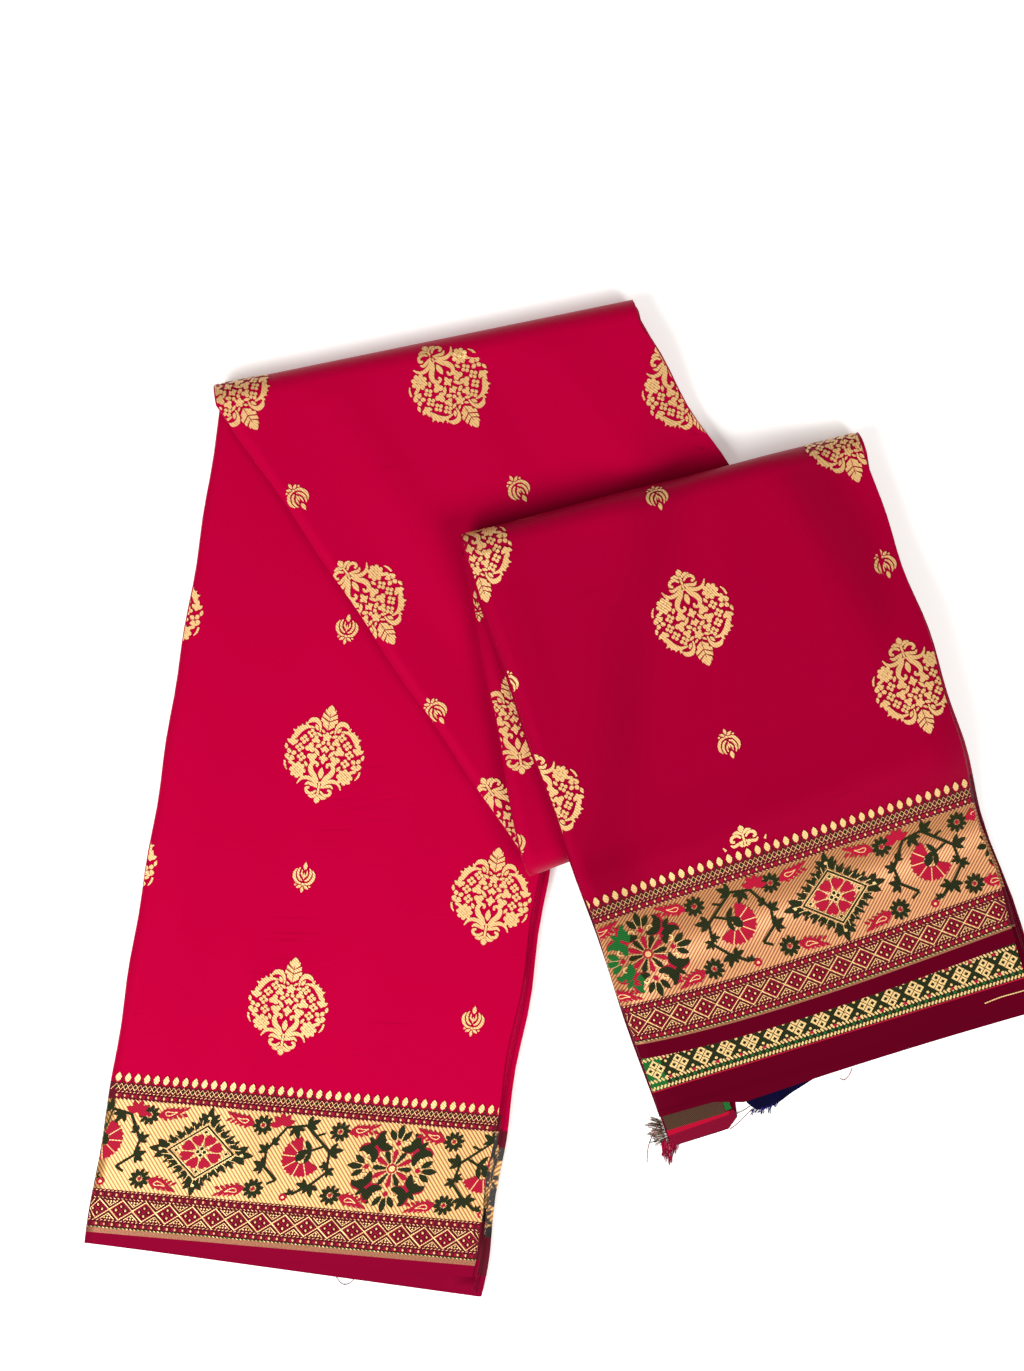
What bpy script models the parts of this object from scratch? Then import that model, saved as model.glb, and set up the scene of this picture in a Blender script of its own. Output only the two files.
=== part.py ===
"""Folded silk sari: one long cloth, pleated back and forth into a band that is turned over three times.

The band starts on the floor at its left arm, is turned over at the top, comes down, is turned over
again, goes up, is turned over a third time and comes down as the right arm. X runs right, Y runs
away and Z is up. Sizes in the tables are millimetres.
"""
import math

import bmesh
import bpy
from mathutils import Vector

MM = 0.001

# The pleats: each modelled layer stands for some of the real, thinner ones
LAYERS = 6
SHEET = 1.2
LAYER_GAP = 0.6
PITCH = SHEET + LAYER_GAP
STACK = LAYERS * SHEET + (LAYERS - 1) * LAYER_GAP
BAND_WIDTH = 187.0

# The turns: the innermost layer goes round a small radius, which also parts the two stacks
TURN_RADIUS = 1.0
OUTER_RADIUS = STACK + TURN_RADIUS
STACK_PARTING = 2 * TURN_RADIUS
TURN_STEPS = 6

# Seen from above, the left and right end of each line across the band
START_EDGE = (Vector((-204.1, -266.5)), Vector((-21.0, -292.3)))
TURN_CRESTS = [
    (Vector((-141.8, 143.5)), Vector((56.4, 184.1))),
    (Vector((8.5, -90.5)), Vector((185.8, -23.6))),
    (Vector((-24.3, 70.4)), Vector((164.6, 121.0))),
]
FINISH_EDGE = (Vector((61.2, -178.5)), Vector((241.4, -122.6)))

# Where one stack hangs off another: it clears the edge, then falls in a soft slope
EDGE_CLEARANCE = 7.0
FALL_RUN = 22.0
FALL_RUN_PER_HEIGHT = 1.5

# How far each pleat's fold or cut edge stands out past the band's plain edge
# side, lower layer at that edge: at the start, first, second and third turn, and the finish
EDGE_SHIFTS = {
    ("left", 0): (0.6, 0.0, 0.0, 0.0, 0.0),
    ("left", 2): (-1.5, -1.6, -1.2, -1.6, -0.8),
    ("left", 4): (0.0, -0.6, 0.4, 0.8, 0.0),
    ("right", 0): (3.0, 0.0, 0.0, 0.0, 0.0),
    ("right", 1): (6.0, 1.2, -1.5, -1.6, 3.0),
    ("right", 3): (2.4, -1.4, 0.8, -1.0, 4.5),
    ("right", 5): (0.0, -1.8, 1.2, 0.8, 3.0),
}

# Small waves along the band's edges: a short one, and a longer one that starts off the beat
RIPPLE_HEIGHT = 0.7
RIPPLE_LENGTH = 61.0
LONG_RIPPLE_HEIGHT = 0.42
LONG_RIPPLE_LENGTH = 140.0
LONG_RIPPLE_LEAD = 1.0
LEFT_RIPPLE_SHARE = 0.5
SPAN_TRAVEL = 300.0

# How far each layer's selvedge runs past the start edge, at its left and right side
START_RUNS = ((1.0, 0.5), (1.0, 0.5), (0.5, 0.0), (0.5, -1.5), (0.0, -3.0), (0.0, -9.6))
# and past the finish edge
FINISH_RUNS = ((0.0, 0.0), (-2.0, 0.0), (25.0, 28.0), (27.0, 31.0), (34.5, 37.0), (12.0, 14.0))
# The upper layers' selvedges sag between their ends
FINISH_SAGS = (4.5, 4.5, 0.0, 0.0, 0.0, 0.0)
NO_SAGS = (0.0,) * LAYERS
SAG_LEAN = 0.75

# They run past it little by little, from this share of the last span on
UNEVEN_FROM = 0.65

# The turned-over corner of the lowest layer, a tongue that runs on past the others
TONGUE_LAYER = LAYERS - 1
TONGUE_RUN = 46.5
TONGUE_WIDTH = 0.175
TONGUE_STEP = 0.05
TONGUE_CORNER = 0.03                      # its outer corner is cut off slantwise
TONGUE_CORNER_RUN = 4.5

# The frayed ends of the warp: a strip of tangled yarn outside the tongue's left edge, with two rows
# of loose ends fanning out of it. Across is measured from the finish edge's left end, run past it
FRAY_ACROSS = (-3.0, -1.2)
FRAY_RUN = (31.0, 44.5)
FRAY_ROWS = (0.0, 0.7, 0.9, 1.6)
FRAY_ENDS = 9
FRAY_FIRST_HEADING = 188.0
FRAY_LAST_HEADING = 262.0
FRAY_LENGTHS = (6.5, 4.5, 8.0, 5.5, 7.0, 4.0, 6.0, 9.0, 7.5)
FRAY_TAPER = 0.55
FRAY_RISE = 0.45

# The navy end of cloth, which lies on the floor between the lowest two layers of the band
BLUE_THICKNESS = 1.1
BLUE_OUTLINE = (
    # across, run
    (48.0, 18.0), (84.0, 18.0), (86.0, 33.0), (80.0, 36.5), (71.0, 38.6),
    (63.0, 40.2), (56.0, 42.6), (50.0, 42.4), (43.0, 41.0), (45.5, 38.5), (43.5, 35.0),
)

ACROSS = (0.2, 0.4, 0.6, 0.8)
STEPS_ALONG = (5, 8, 5, 10)

SILK_RED = (0.56, 0.0, 0.045, 1.0)
YARN_BROWN = (0.10, 0.06, 0.03, 1.0)
COTTON_BLUE = (0.01, 0.008, 0.08, 1.0)


def clear_scene():
    """Take away whatever the scene holds."""
    for thing in list(bpy.data.objects):
        bpy.data.objects.remove(thing, do_unlink=True)


def make_material(name, color, roughness):
    """One plain coloured material."""
    material = bpy.data.materials.new(name)
    material.use_nodes = True
    shader = material.node_tree.nodes["Principled BSDF"]
    shader.inputs["Base Color"].default_value = color
    shader.inputs["Roughness"].default_value = roughness
    shader.inputs["Metallic"].default_value = 0.0
    return material


def along(line, share):
    """The point at a share of the way from a line's left end to its right end."""
    left, right = line
    return left + (right - left) * share


def outward(turn):
    """The level direction in which a turn's crest faces."""
    left, right = TURN_CRESTS[turn]
    run = (right - left).normalized()
    side = 1.0 if turn != 1 else -1.0
    return Vector((-run.y, run.x)) * side


def turn_axis(turn):
    """The line about which the stack is turned over."""
    inward = -outward(turn) * OUTER_RADIUS
    left, right = TURN_CRESTS[turn]
    return left + inward, right + inward


AXES = [turn_axis(turn) for turn in range(3)]
SPANS = [
    (START_EDGE, AXES[0]),
    (AXES[0], AXES[1]),
    (AXES[1], AXES[2]),
    (AXES[2], FINISH_EDGE),
]
FOOTPRINTS = [
    (START_EDGE, TURN_CRESTS[0]),
    (TURN_CRESTS[0], TURN_CRESTS[1]),
    (TURN_CRESTS[1], TURN_CRESTS[2]),
]


def nearest_in(footprint, point):
    """The point of a four-sided footprint that lies nearest to a point, and its distance."""
    (first, second), (fourth, third) = footprint
    corners = [first, second, third, fourth]
    middle = sum(corners, Vector((0.0, 0.0))) / 4
    inside = True
    best = None
    for start, end in zip(corners, corners[1:] + corners[:1]):
        run = end - start
        side = run.x * (point.y - start.y) - run.y * (point.x - start.x)
        home = run.x * (middle.y - start.y) - run.y * (middle.x - start.x)
        if side * home < 0:
            inside = False
        share = max(0.0, min(1.0, (point - start).dot(run) / run.length_squared))
        foot = start + run * share
        gap = (point - foot).length
        if best is None or gap < best[1]:
            best = (foot, gap)
    if inside:
        return point, 0.0
    return best


def soft_fall(distance, height):
    """Share of a height left at a distance outside an edge, level at both ends."""
    run = FALL_RUN + FALL_RUN_PER_HEIGHT * height
    share = max(0.0, min(1.0, (distance - EDGE_CLEARANCE) / run))
    return 0.5 + 0.5 * math.cos(math.pi * share)


def support(span, point):
    """Height of whatever a span of the band lies on, at a point seen from above."""
    if span == 0:
        return 0.0
    foot, distance = nearest_in(FOOTPRINTS[span - 1], point)
    top = support(span - 1, foot) + STACK + STACK_PARTING
    return max(support(span - 1, point), top * soft_fall(distance, top))


def stack_offset(span, height):
    """Height above the span's support: every second span lies upside down."""
    return height if span % 2 == 0 else STACK - height


def section():
    """The back-and-forth line of the pleats, as rows of side, inset, share across, height and layer."""
    bend = PITCH / 2
    rows = []
    for layer in range(LAYERS):
        height = SHEET / 2 + layer * PITCH
        shares = list(ACROSS)
        if layer == TONGUE_LAYER:
            shares = [TONGUE_WIDTH - TONGUE_CORNER, TONGUE_WIDTH, TONGUE_WIDTH + TONGUE_STEP] + shares[1:]
        across = [("left", bend, 0.0)] + [("middle", 0.0, share) for share in shares]
        across.append(("right", bend, 1.0))
        if layer % 2 == 0:
            across.reverse()
        for side, inset, share in across:
            rows.append((side, inset, share, height, float(layer)))
        if layer < LAYERS - 1:
            side, share = ("left", 0.0) if layer % 2 == 0 else ("right", 1.0)
            for angle in (-30, 30):
                reach = bend * math.cos(math.radians(angle))
                rise = bend * (1 + math.sin(math.radians(angle)))
                part = (1 + math.sin(math.radians(angle))) / 2
                rows.append((side, bend - reach, share, height + rise, layer + part))
    return rows


def edge_shift(side, layer, place):
    """How far out an edge stands at a place counted in turns from the start."""
    lower = int(layer)
    pairs = (0, 2, 4) if side == "left" else (1, 3)
    for pair in pairs:
        if pair <= layer <= pair + 1:
            lower = pair
    shifts = EDGE_SHIFTS[(side, lower)]
    step = min(int(place), 3)
    share = place - step
    return shifts[step] * (1 - share) + shifts[step + 1] * share


def share_across(row, place, travelled):
    """Where a row of the section lies across the band, as a share of its width."""
    side, inset, share, height, layer = row
    if side == "middle":
        return share
    turns = 2 * math.pi * travelled
    ripple = RIPPLE_HEIGHT * math.sin(turns / RIPPLE_LENGTH)
    ripple += LONG_RIPPLE_HEIGHT * math.sin(turns / LONG_RIPPLE_LENGTH + LONG_RIPPLE_LEAD)
    out = edge_shift(side, layer, place) - inset + ripple * (1.0 if side == "right" else LEFT_RIPPLE_SHARE)
    return -out / BAND_WIDTH if side == "left" else 1.0 + out / BAND_WIDTH


def selvedge_run(runs, sags, row, share):
    """How far the selvedge runs past an edge line at a row of the section."""
    layer = row[4]
    lower = min(int(layer), LAYERS - 1)
    upper = min(lower + 1, LAYERS - 1)
    part = layer - lower
    sag = math.sin(math.pi * max(0.0, min(1.0, share)) ** SAG_LEAN)
    values = [runs[index][0] * (1 - share) + runs[index][1] * share + sags[index] * sag for index in (lower, upper)]
    return values[0] * (1 - part) + values[1] * part


def finish_run(row, share):
    """The same past the finish edge, with the tongue of the lowest layer."""
    plain = selvedge_run(FINISH_RUNS, FINISH_SAGS, row, share)
    layer = row[4]
    if layer <= TONGUE_LAYER - 1 or share > TONGUE_WIDTH + TONGUE_STEP / 2:
        return plain
    part = layer - (TONGUE_LAYER - 1)
    above = FINISH_RUNS[TONGUE_LAYER - 1][0]
    corner = TONGUE_CORNER_RUN if share > TONGUE_WIDTH - TONGUE_CORNER / 2 else 0.0
    return above + (TONGUE_RUN - corner - above) * part


def span_point(span, step, row):
    """A point of the section where a span lies or hangs."""
    near, far = SPANS[span]
    part = step / STEPS_ALONG[span]
    length = ((near[0] - far[0]).length + (near[1] - far[1]).length) / 2
    share = share_across(row, span + part, span * SPAN_TRAVEL + length * part)
    start = along(near, share)
    end = along(far, share)
    travel = (end - start).normalized()
    flat = start.lerp(end, part)
    if span == 0:
        flat = flat - travel * selvedge_run(START_RUNS, NO_SAGS, row, share) * (1 - part)
    if span == 3:
        uneven = max(0.0, (part - UNEVEN_FROM) / (1 - UNEVEN_FROM))
        flat = flat + travel * finish_run(row, share) * uneven
    height = support(span, flat) + stack_offset(span, row[3])
    return Vector((flat.x, flat.y, height))


def turn_point(turn, step, row):
    """A point of the section on its way round a turn, which starts from the span of that number."""
    length = (SPANS[turn][0][0] - SPANS[turn][1][0]).length
    share = share_across(row, turn + 1.0, turn * SPAN_TRAVEL + length)
    axis = along(AXES[turn], share)
    angle = math.pi * step / TURN_STEPS
    radius = STACK + TURN_RADIUS - stack_offset(turn, row[3])
    level = axis + outward(turn) * (radius * math.sin(angle))
    middle = support(turn, axis) + STACK + TURN_RADIUS
    return Vector((level.x, level.y, middle - radius * math.cos(angle)))


def cloth_points():
    """Every section of the cloth from its start edge to its finish edge."""
    rows = section()
    sections = []
    for span in range(4):
        first = 0 if span == 0 else 1
        last = STEPS_ALONG[span] + 1
        for step in range(first, last):
            sections.append([span_point(span, step, row) for row in rows])
        if span < 3:
            for step in range(1, TURN_STEPS + 1):
                sections.append([turn_point(span, step, row) for row in rows])
    return rows, sections


def add_object(name, mesh, material, home):
    """Link a finished mesh under a name, with its material."""
    mesh.materials.append(material)
    thing = bpy.data.objects.new(name, mesh)
    home.objects.link(thing)
    return thing


def make_cloth(home):
    """The pleated cloth: an open sheet along the section, thickened evenly to both sides."""
    rows, sections = cloth_points()
    vertices = [point * MM for points in sections for point in points]
    count = len(rows)
    faces = []
    for line in range(len(sections) - 1):
        for place in range(count - 1):
            low = line * count + place
            high = low + count
            # the short way across runs from the right side back to the left side of the next section
            if rightward(rows[place], rows[place + 1]):
                faces.append((low, low + 1, high))
                faces.append((low + 1, high + 1, high))
            else:
                faces.append((low, low + 1, high + 1))
                faces.append((low, high + 1, high))
    mesh = bpy.data.meshes.new("sari_cloth")
    mesh.from_pydata(vertices, [], faces)
    cloth = add_object("sari_cloth", mesh, make_material("crimson silk", SILK_RED, 0.45), home)
    shell = cloth.modifiers.new("thickness", "SOLIDIFY")
    shell.thickness = SHEET * MM
    shell.offset = 0.0
    shell.use_even_offset = True
    shell.use_rim = True
    return cloth


def finish_point(across, run, height):
    """A point placed from the finish edge's left end."""
    left, right = FINISH_EDGE
    sideways = (right - left).normalized()
    onward = (left - AXES[2][0]).normalized()
    flat = left + sideways * across + onward * run
    return Vector((flat.x, flat.y, height))


def make_frayed_ends(home):
    """A strip of tangled yarn cut into cells, with a loose end drawn out of every second cell."""
    mesh = bpy.data.meshes.new("frayed_ends")
    body = bmesh.new()
    corners = []
    for height in (FRAY_ROWS[0], FRAY_ROWS[-1]):
        for across, run in ((0, 0), (1, 0), (1, 1), (0, 1)):
            corners.append(body.verts.new(finish_point(FRAY_ACROSS[across], FRAY_RUN[run], height)))
    for loop in ((3, 2, 1, 0), (4, 5, 6, 7), (0, 1, 5, 4), (1, 2, 6, 5), (2, 3, 7, 6), (3, 0, 4, 7)):
        body.faces.new([corners[index] for index in loop])
    bmesh.ops.recalc_face_normals(body, faces=body.faces)
    start = finish_point(FRAY_ACROSS[0], FRAY_RUN[0], 0.0)
    end = finish_point(FRAY_ACROSS[0], FRAY_RUN[1], 0.0)
    cells = 2 * FRAY_ENDS + 1
    for cell in range(1, cells):
        cut_through(body, start.lerp(end, cell / cells), end - start)
    for height in FRAY_ROWS[1:-1]:
        cut_through(body, Vector((0.0, 0.0, height)), Vector((0.0, 0.0, 1.0)))
    body.faces.ensure_lookup_table()
    outer = (finish_point(FRAY_ACROSS[0], 0.0, 0.0) - finish_point(FRAY_ACROSS[1], 0.0, 0.0)).normalized()
    length = (end - start).length
    for face in [face for face in body.faces if face.normal.dot(outer) > 0.99]:
        middle = face.calc_center_median()
        cell = int((middle - start).dot(end - start) / length / length * cells)
        lower = middle.z < FRAY_ROWS[1]
        upper = middle.z > FRAY_ROWS[2]
        if (lower and cell % 2 == 1) or (upper and cell % 2 == 0 and 0 < cell < cells - 1):
            draw_out(body, face, cell / (cells - 1), FRAY_LENGTHS[cell // 2 % FRAY_ENDS], upper)
    for vertex in body.verts:
        vertex.co *= MM
    body.to_mesh(mesh)
    body.free()
    return add_object("frayed_ends", mesh, make_material("loose warp yarn", YARN_BROWN, 0.8), home)


def cut_through(body, place, normal):
    """Cut every face of a body along a plane, and keep both halves."""
    parts = list(body.verts) + list(body.edges) + list(body.faces)
    bmesh.ops.bisect_plane(body, geom=parts, plane_co=place, plane_no=normal, dist=1e-5)


def draw_out(body, face, share, length, rising):
    """Draw a face out into a thinning loose end, level on the floor or rising a little."""
    heading = math.radians(FRAY_FIRST_HEADING + (FRAY_LAST_HEADING - FRAY_FIRST_HEADING) * share)
    step = Vector((math.cos(heading), math.sin(heading), 0.0)) * (length / 2)
    lift = Vector((0.0, 0.0, FRAY_RISE if rising else 0.0))
    for stage in range(2):
        face = bmesh.ops.extrude_discrete_faces(body, faces=[face])["faces"][0]
        middle = face.calc_center_median()
        thinner = math.sqrt(FRAY_TAPER)
        for vertex in face.verts:
            level = (vertex.co - middle) * thinner
            level.z = vertex.co.z - middle.z
            vertex.co = middle + level + step + lift * (1 - stage)


def make_blue_end(home):
    """The tip of a navy cloth end: its outline, thickened upward from the floor."""
    mesh = bpy.data.meshes.new("blue_end")
    points = [finish_point(across, run, 0.0) * MM for across, run in BLUE_OUTLINE]
    mesh.from_pydata(points, [], [tuple(range(len(points)))])
    blue = add_object("blue_end", mesh, make_material("navy cloth", COTTON_BLUE, 0.7), home)
    shell = blue.modifiers.new("thickness", "SOLIDIFY")
    shell.thickness = BLUE_THICKNESS * MM
    shell.offset = 1.0 if mesh.polygons[0].normal.z > 0 else -1.0
    return blue


def rightward(row, following):
    """Whether the section goes to the right between two of its rows."""
    return following[2] > row[2] if row[2] != following[2] else row[0] == "left"


def centre(things):
    """Move every mesh so that the middle of the whole box stands over the origin."""
    bpy.context.view_layer.update()
    graph = bpy.context.evaluated_depsgraph_get()
    points = [corner for thing in things for corner in box_corners(thing, graph)]
    xs = [point.x for point in points]
    ys = [point.y for point in points]
    shift = Vector((-(min(xs) + max(xs)) / 2, -(min(ys) + max(ys)) / 2, 0.0))
    for thing in things:
        for vertex in thing.data.vertices:
            vertex.co += shift
    print("shift to the middle, mm:", round(shift.x / MM, 2), round(shift.y / MM, 2))


def box_corners(thing, graph):
    """The points of a finished mesh, its thickness included."""
    finished = thing.evaluated_get(graph)
    points = [vertex.co.copy() for vertex in finished.to_mesh().vertices]
    finished.to_mesh_clear()
    return points


def main():
    clear_scene()
    home = bpy.data.collections.new("folded_sari")
    bpy.context.scene.collection.children.link(home)
    centre([make_cloth(home), make_frayed_ends(home), make_blue_end(home)])


main()
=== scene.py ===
import math
import random

import bmesh
import bpy
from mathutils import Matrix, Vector


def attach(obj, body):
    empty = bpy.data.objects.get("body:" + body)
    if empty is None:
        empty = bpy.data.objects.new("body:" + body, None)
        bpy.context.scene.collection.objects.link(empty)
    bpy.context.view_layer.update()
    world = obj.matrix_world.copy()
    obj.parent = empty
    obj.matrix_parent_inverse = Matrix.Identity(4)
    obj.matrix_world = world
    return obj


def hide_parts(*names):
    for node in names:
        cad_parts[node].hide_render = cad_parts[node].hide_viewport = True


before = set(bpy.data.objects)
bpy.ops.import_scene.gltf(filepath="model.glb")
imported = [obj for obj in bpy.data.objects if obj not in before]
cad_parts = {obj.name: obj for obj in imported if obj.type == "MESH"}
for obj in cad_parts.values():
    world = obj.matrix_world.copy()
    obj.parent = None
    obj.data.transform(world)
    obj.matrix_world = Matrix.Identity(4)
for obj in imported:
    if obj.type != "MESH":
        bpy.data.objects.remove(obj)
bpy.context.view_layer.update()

# The sari cloth
# One length of crimson silk, woven with metallic thread, about 6 m long and 1.15 m wide. It is pleated
# back and forth along its length into a band, and the band is turned over three times.

MM = 0.001
SHEET_MIDDLE = Vector((-25.41, 54.88))    # from the picture's middle to the middle of the part

BAND_WIDTH = 187.0
STACK = 10.2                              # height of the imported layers
LAYERS = 32
# The band's four spans are numbered from the left arm to the right arm
LEFT_ARM = 0
RIGHT_ARM = 3
CLOTH_THICKNESS = 0.3
OUTER_LAYER_LIFT = 1.0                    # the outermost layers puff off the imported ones
TURN_RADIUS = 1.0
OUTER_RADIUS = STACK + TURN_RADIUS
STACK_PARTING = 2 * TURN_RADIUS

# The left and right end of each line across the band, from above, in millimetres
START_EDGE = (Vector((-204.1, -266.5)), Vector((-21.0, -292.3)))
TURN_CRESTS = [
    (Vector((-141.8, 143.5)), Vector((56.4, 184.1))),
    (Vector((8.5, -90.5)), Vector((185.8, -23.6))),
    (Vector((-24.3, 70.4)), Vector((164.6, 121.0))),
]
FINISH_EDGE = (Vector((61.2, -178.5)), Vector((241.4, -122.6)))

# How a span comes down past the edge of what it lies on
EDGE_CLEARANCE = 7.0
FALL_RUN = 22.0
FALL_RUN_PER_HEIGHT = 1.5

# How far the pleats stand out sideways at the start, the first, second and third turn, and the finish,
# for the groups of layers that end at each top. The left arm's stack has six groups, counted upward.
GROUPS = 6
LEFT_SHIFTS = (
    (0.6, 0.0, 0.0, 0.0, 0.0),
    (-1.5, -1.6, -1.2, -1.6, -0.8),
    (0.0, -0.6, 0.4, 0.8, 0.0),
)
LEFT_GROUP_TOPS = (1.5, 3.5, 9.0)
RIGHT_SHIFTS = (
    (3.0, 0.0, 0.0, 0.0, 0.0),
    (6.0, 1.2, -1.5, -1.6, 3.0),
    (2.4, -1.4, 0.8, -1.0, 4.5),
    (0.0, -1.8, 1.2, 0.8, 3.0),
)
RIGHT_GROUP_TOPS = (0.5, 2.5, 4.5, 9.0)
RIPPLE_HEIGHT = 0.7                       # small waves along the band's edges
RIPPLE_LENGTH = 61.0
LONG_RIPPLE_HEIGHT = 0.42
LONG_RIPPLE_LENGTH = 140.0
LONG_RIPPLE_LEAD = 1.0
LEFT_RIPPLE_SHARE = 0.5
SPAN_TRAVEL = 300.0

# How far each group's selvedge runs past the start and the finish edge, at its left and right
START_RUNS = ((1.0, 0.5), (1.0, 0.5), (0.5, 0.0), (0.5, -1.5), (0.0, -3.0), (0.0, -9.6))
FINISH_RUNS = ((0.0, 0.0), (-2.0, 0.0), (25.0, 28.0), (27.0, 31.0), (30.5, 35.5), (12.0, 14.0))
UNEVEN_FROM = 0.65                        # share of the right arm from which its layers run on unevenly
FINISH_SAG = 4.5                          # how far the upper selvedges of the right arm sag
SAG_LEAN = 0.75
# The tongue: the lowest layers of the right arm run on at its left edge
TONGUE_RUN = 46.5
TONGUE_WIDTH = 0.19
TONGUE_CORNER_FROM = 0.15                 # its outer corner is rounded off
TONGUE_CORNER_RUN = 5.0
BESIDE_TONGUE_GROUP = 4                   # these layers sag to the right of the tongue
BESIDE_TONGUE_SAG = 4.3
TONGUE_LAYERS = 2
TONGUE_LAYER_STEP = 0.6

# The border, measured in from the selvedge: plain selvedge, metal line, beads, lattice, beads,
# the broad gold band, beads, chain and drops
BORDER = (
    # runs to, cloth
    (5.6, "selvedge"), (7.1, "copper"), (8.1, "copper"), (12.1, "dark rows"), (17.3, "dark rows"),
    (22.4, "dark rows"), (26.8, "dark rows"), (37.6, "gold twill"), (48.5, "gold twill"),
    (59.4, "gold twill"), (70.2, "gold twill"), (74.5, "dark rows"), (78.4, "dark rows"), (84.0, "silk"),
)
BORDER_DEPTH = BORDER[-1][0]
FAR_LINE_FROM = 7.1                       # the far border's metal line is a thin one

# How finely the cloth is divided: steps across an outermost and a covered layer, round a turn, and
# along each span
FINE_ACROSS = 32
PACKED_ACROSS = 14
TURN_STEPS = 12
SPAN_STEPS = (30, 24, 14, 20)
FOLD_INSET = 0.15                         # a layer's last point lies this far inside its pleat's fold


def along(line, share):
    """The point at a share of the way from a line's left end to its right end."""
    return line[0] + (line[1] - line[0]) * share


def outward(turn):
    """The level direction in which a turn's crest faces."""
    run = (TURN_CRESTS[turn][1] - TURN_CRESTS[turn][0]).normalized()
    return Vector((-run.y, run.x)) * (-1.0 if turn == 1 else 1.0)


AXES = [tuple(end - outward(turn) * OUTER_RADIUS for end in TURN_CRESTS[turn]) for turn in range(3)]
SPANS = [(START_EDGE, AXES[0]), (AXES[0], AXES[1]), (AXES[1], AXES[2]), (AXES[2], FINISH_EDGE)]
FOOTPRINTS = [
    (START_EDGE, TURN_CRESTS[0]), (TURN_CRESTS[0], TURN_CRESTS[1]), (TURN_CRESTS[1], TURN_CRESTS[2]),
]


def nearest_in(footprint, point):
    """The point of a four-sided footprint that lies nearest to a point, and its distance."""
    (first, second), (fourth, third) = footprint
    corners = [first, second, third, fourth]
    middle = (first + second + third + fourth) / 4
    inside = True
    best = None
    for start, end in zip(corners, corners[1:] + corners[:1]):
        run = end - start
        side = run.x * (point.y - start.y) - run.y * (point.x - start.x)
        home = run.x * (middle.y - start.y) - run.y * (middle.x - start.x)
        inside = inside and side * home >= 0
        share = max(0.0, min(1.0, (point - start).dot(run) / run.length_squared))
        foot = start + run * share
        gap = (point - foot).length
        if best is None or gap < best[1]:
            best = (foot, gap)
    return (point, 0.0) if inside else best


def soft_fall(distance, height):
    """Share of a height left at a distance outside an edge, level at both ends."""
    share = (distance - EDGE_CLEARANCE) / (FALL_RUN + FALL_RUN_PER_HEIGHT * height)
    return 0.5 + 0.5 * math.cos(math.pi * max(0.0, min(1.0, share)))


def support(span, point):
    """Height of whatever a span of the band lies on, at a point seen from above."""
    if span == 0:
        return 0.0
    foot, distance = nearest_in(FOOTPRINTS[span - 1], point)
    top = support(span - 1, foot) + STACK + STACK_PARTING
    return max(support(span - 1, point), top * soft_fall(distance, top))


def offset_in(span, height):
    """Height above the span's support: every second span lies upside down."""
    return height if span % 2 == 0 else STACK - height


# Soft creases: span, middle point, direction in degrees, half length, half width and height
CREASES = (
    (0, -150.0, -55.0, 81.0, 150.0, 12.0, 1.3), (0, -102.0, -7.0, 84.0, 120.0, 14.0, -1.0),
    (0, -54.0, -79.0, 80.0, 110.0, 13.0, 1.2), (0, -126.0, -176.0, 86.0, 70.0, 10.0, 0.8),
    (1, -54.0, 89.0, -57.0, 90.0, 11.0, 1.3), (1, 4.0, 123.0, -62.0, 80.0, 12.0, -1.0),
    (1, 42.0, 128.0, -55.0, 70.0, 12.0, 1.2), (1, -35.0, 22.0, -52.0, 80.0, 9.0, -0.8),
    (2, -6.0, -36.0, 98.0, 60.0, 6.0, 0.9),
    (3, 104.0, 7.0, -86.0, 110.0, 6.0, 0.8), (3, 52.0, 22.0, -75.0, 90.0, 14.0, -0.9),
    (3, 153.0, 22.0, -70.0, 80.0, 12.0, 1.0), (3, 4.0, 22.0, -78.0, 60.0, 8.0, 1.4),
)


def crease(span, point):
    """How far the soft troughs and ridges lift the top of the stack at a point."""
    total = 0.0
    for where, x, y, heading, length, width, height in CREASES:
        if where != span:
            continue
        turned = math.radians(heading)
        away = point - Vector((x, y))
        on = (away.x * math.cos(turned) + away.y * math.sin(turned)) / length
        off = (away.y * math.cos(turned) - away.x * math.sin(turned)) / width
        total += height * math.exp(-on * on - off * off)
    return total


def layer_height(layer):
    """Height of a layer's middle in the left arm's stack."""
    low = CLOTH_THICKNESS / 2
    high = STACK - low
    if layer == 0:
        return low
    if layer == LAYERS - 1:
        return high
    share = (layer - 1) / (LAYERS - 3)
    return low + OUTER_LAYER_LIFT + (high - low - 2 * OUTER_LAYER_LIFT) * share


def group_place(height):
    """Where a height lies among the six groups of layers, as a number from 0 to 5."""
    return max(0.0, min(GROUPS - 1.0, (height / STACK) * GROUPS - 0.5))


# No pleat and no selvedge lies quite in line with the next
PLEAT_UNEVENNESS = 0.8
END_UNEVENNESS = 0.5
unevenness = random.Random(7)
PLEAT_JITTER = [unevenness.uniform(-PLEAT_UNEVENNESS, PLEAT_UNEVENNESS) for layer in range(LAYERS + 1)]
END_JITTER = [unevenness.uniform(-END_UNEVENNESS, END_UNEVENNESS) for layer in range(LAYERS + 1)]
END_JITTER[0] = 0.0
END_JITTER[LAYERS - 1] = 0.0


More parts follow.
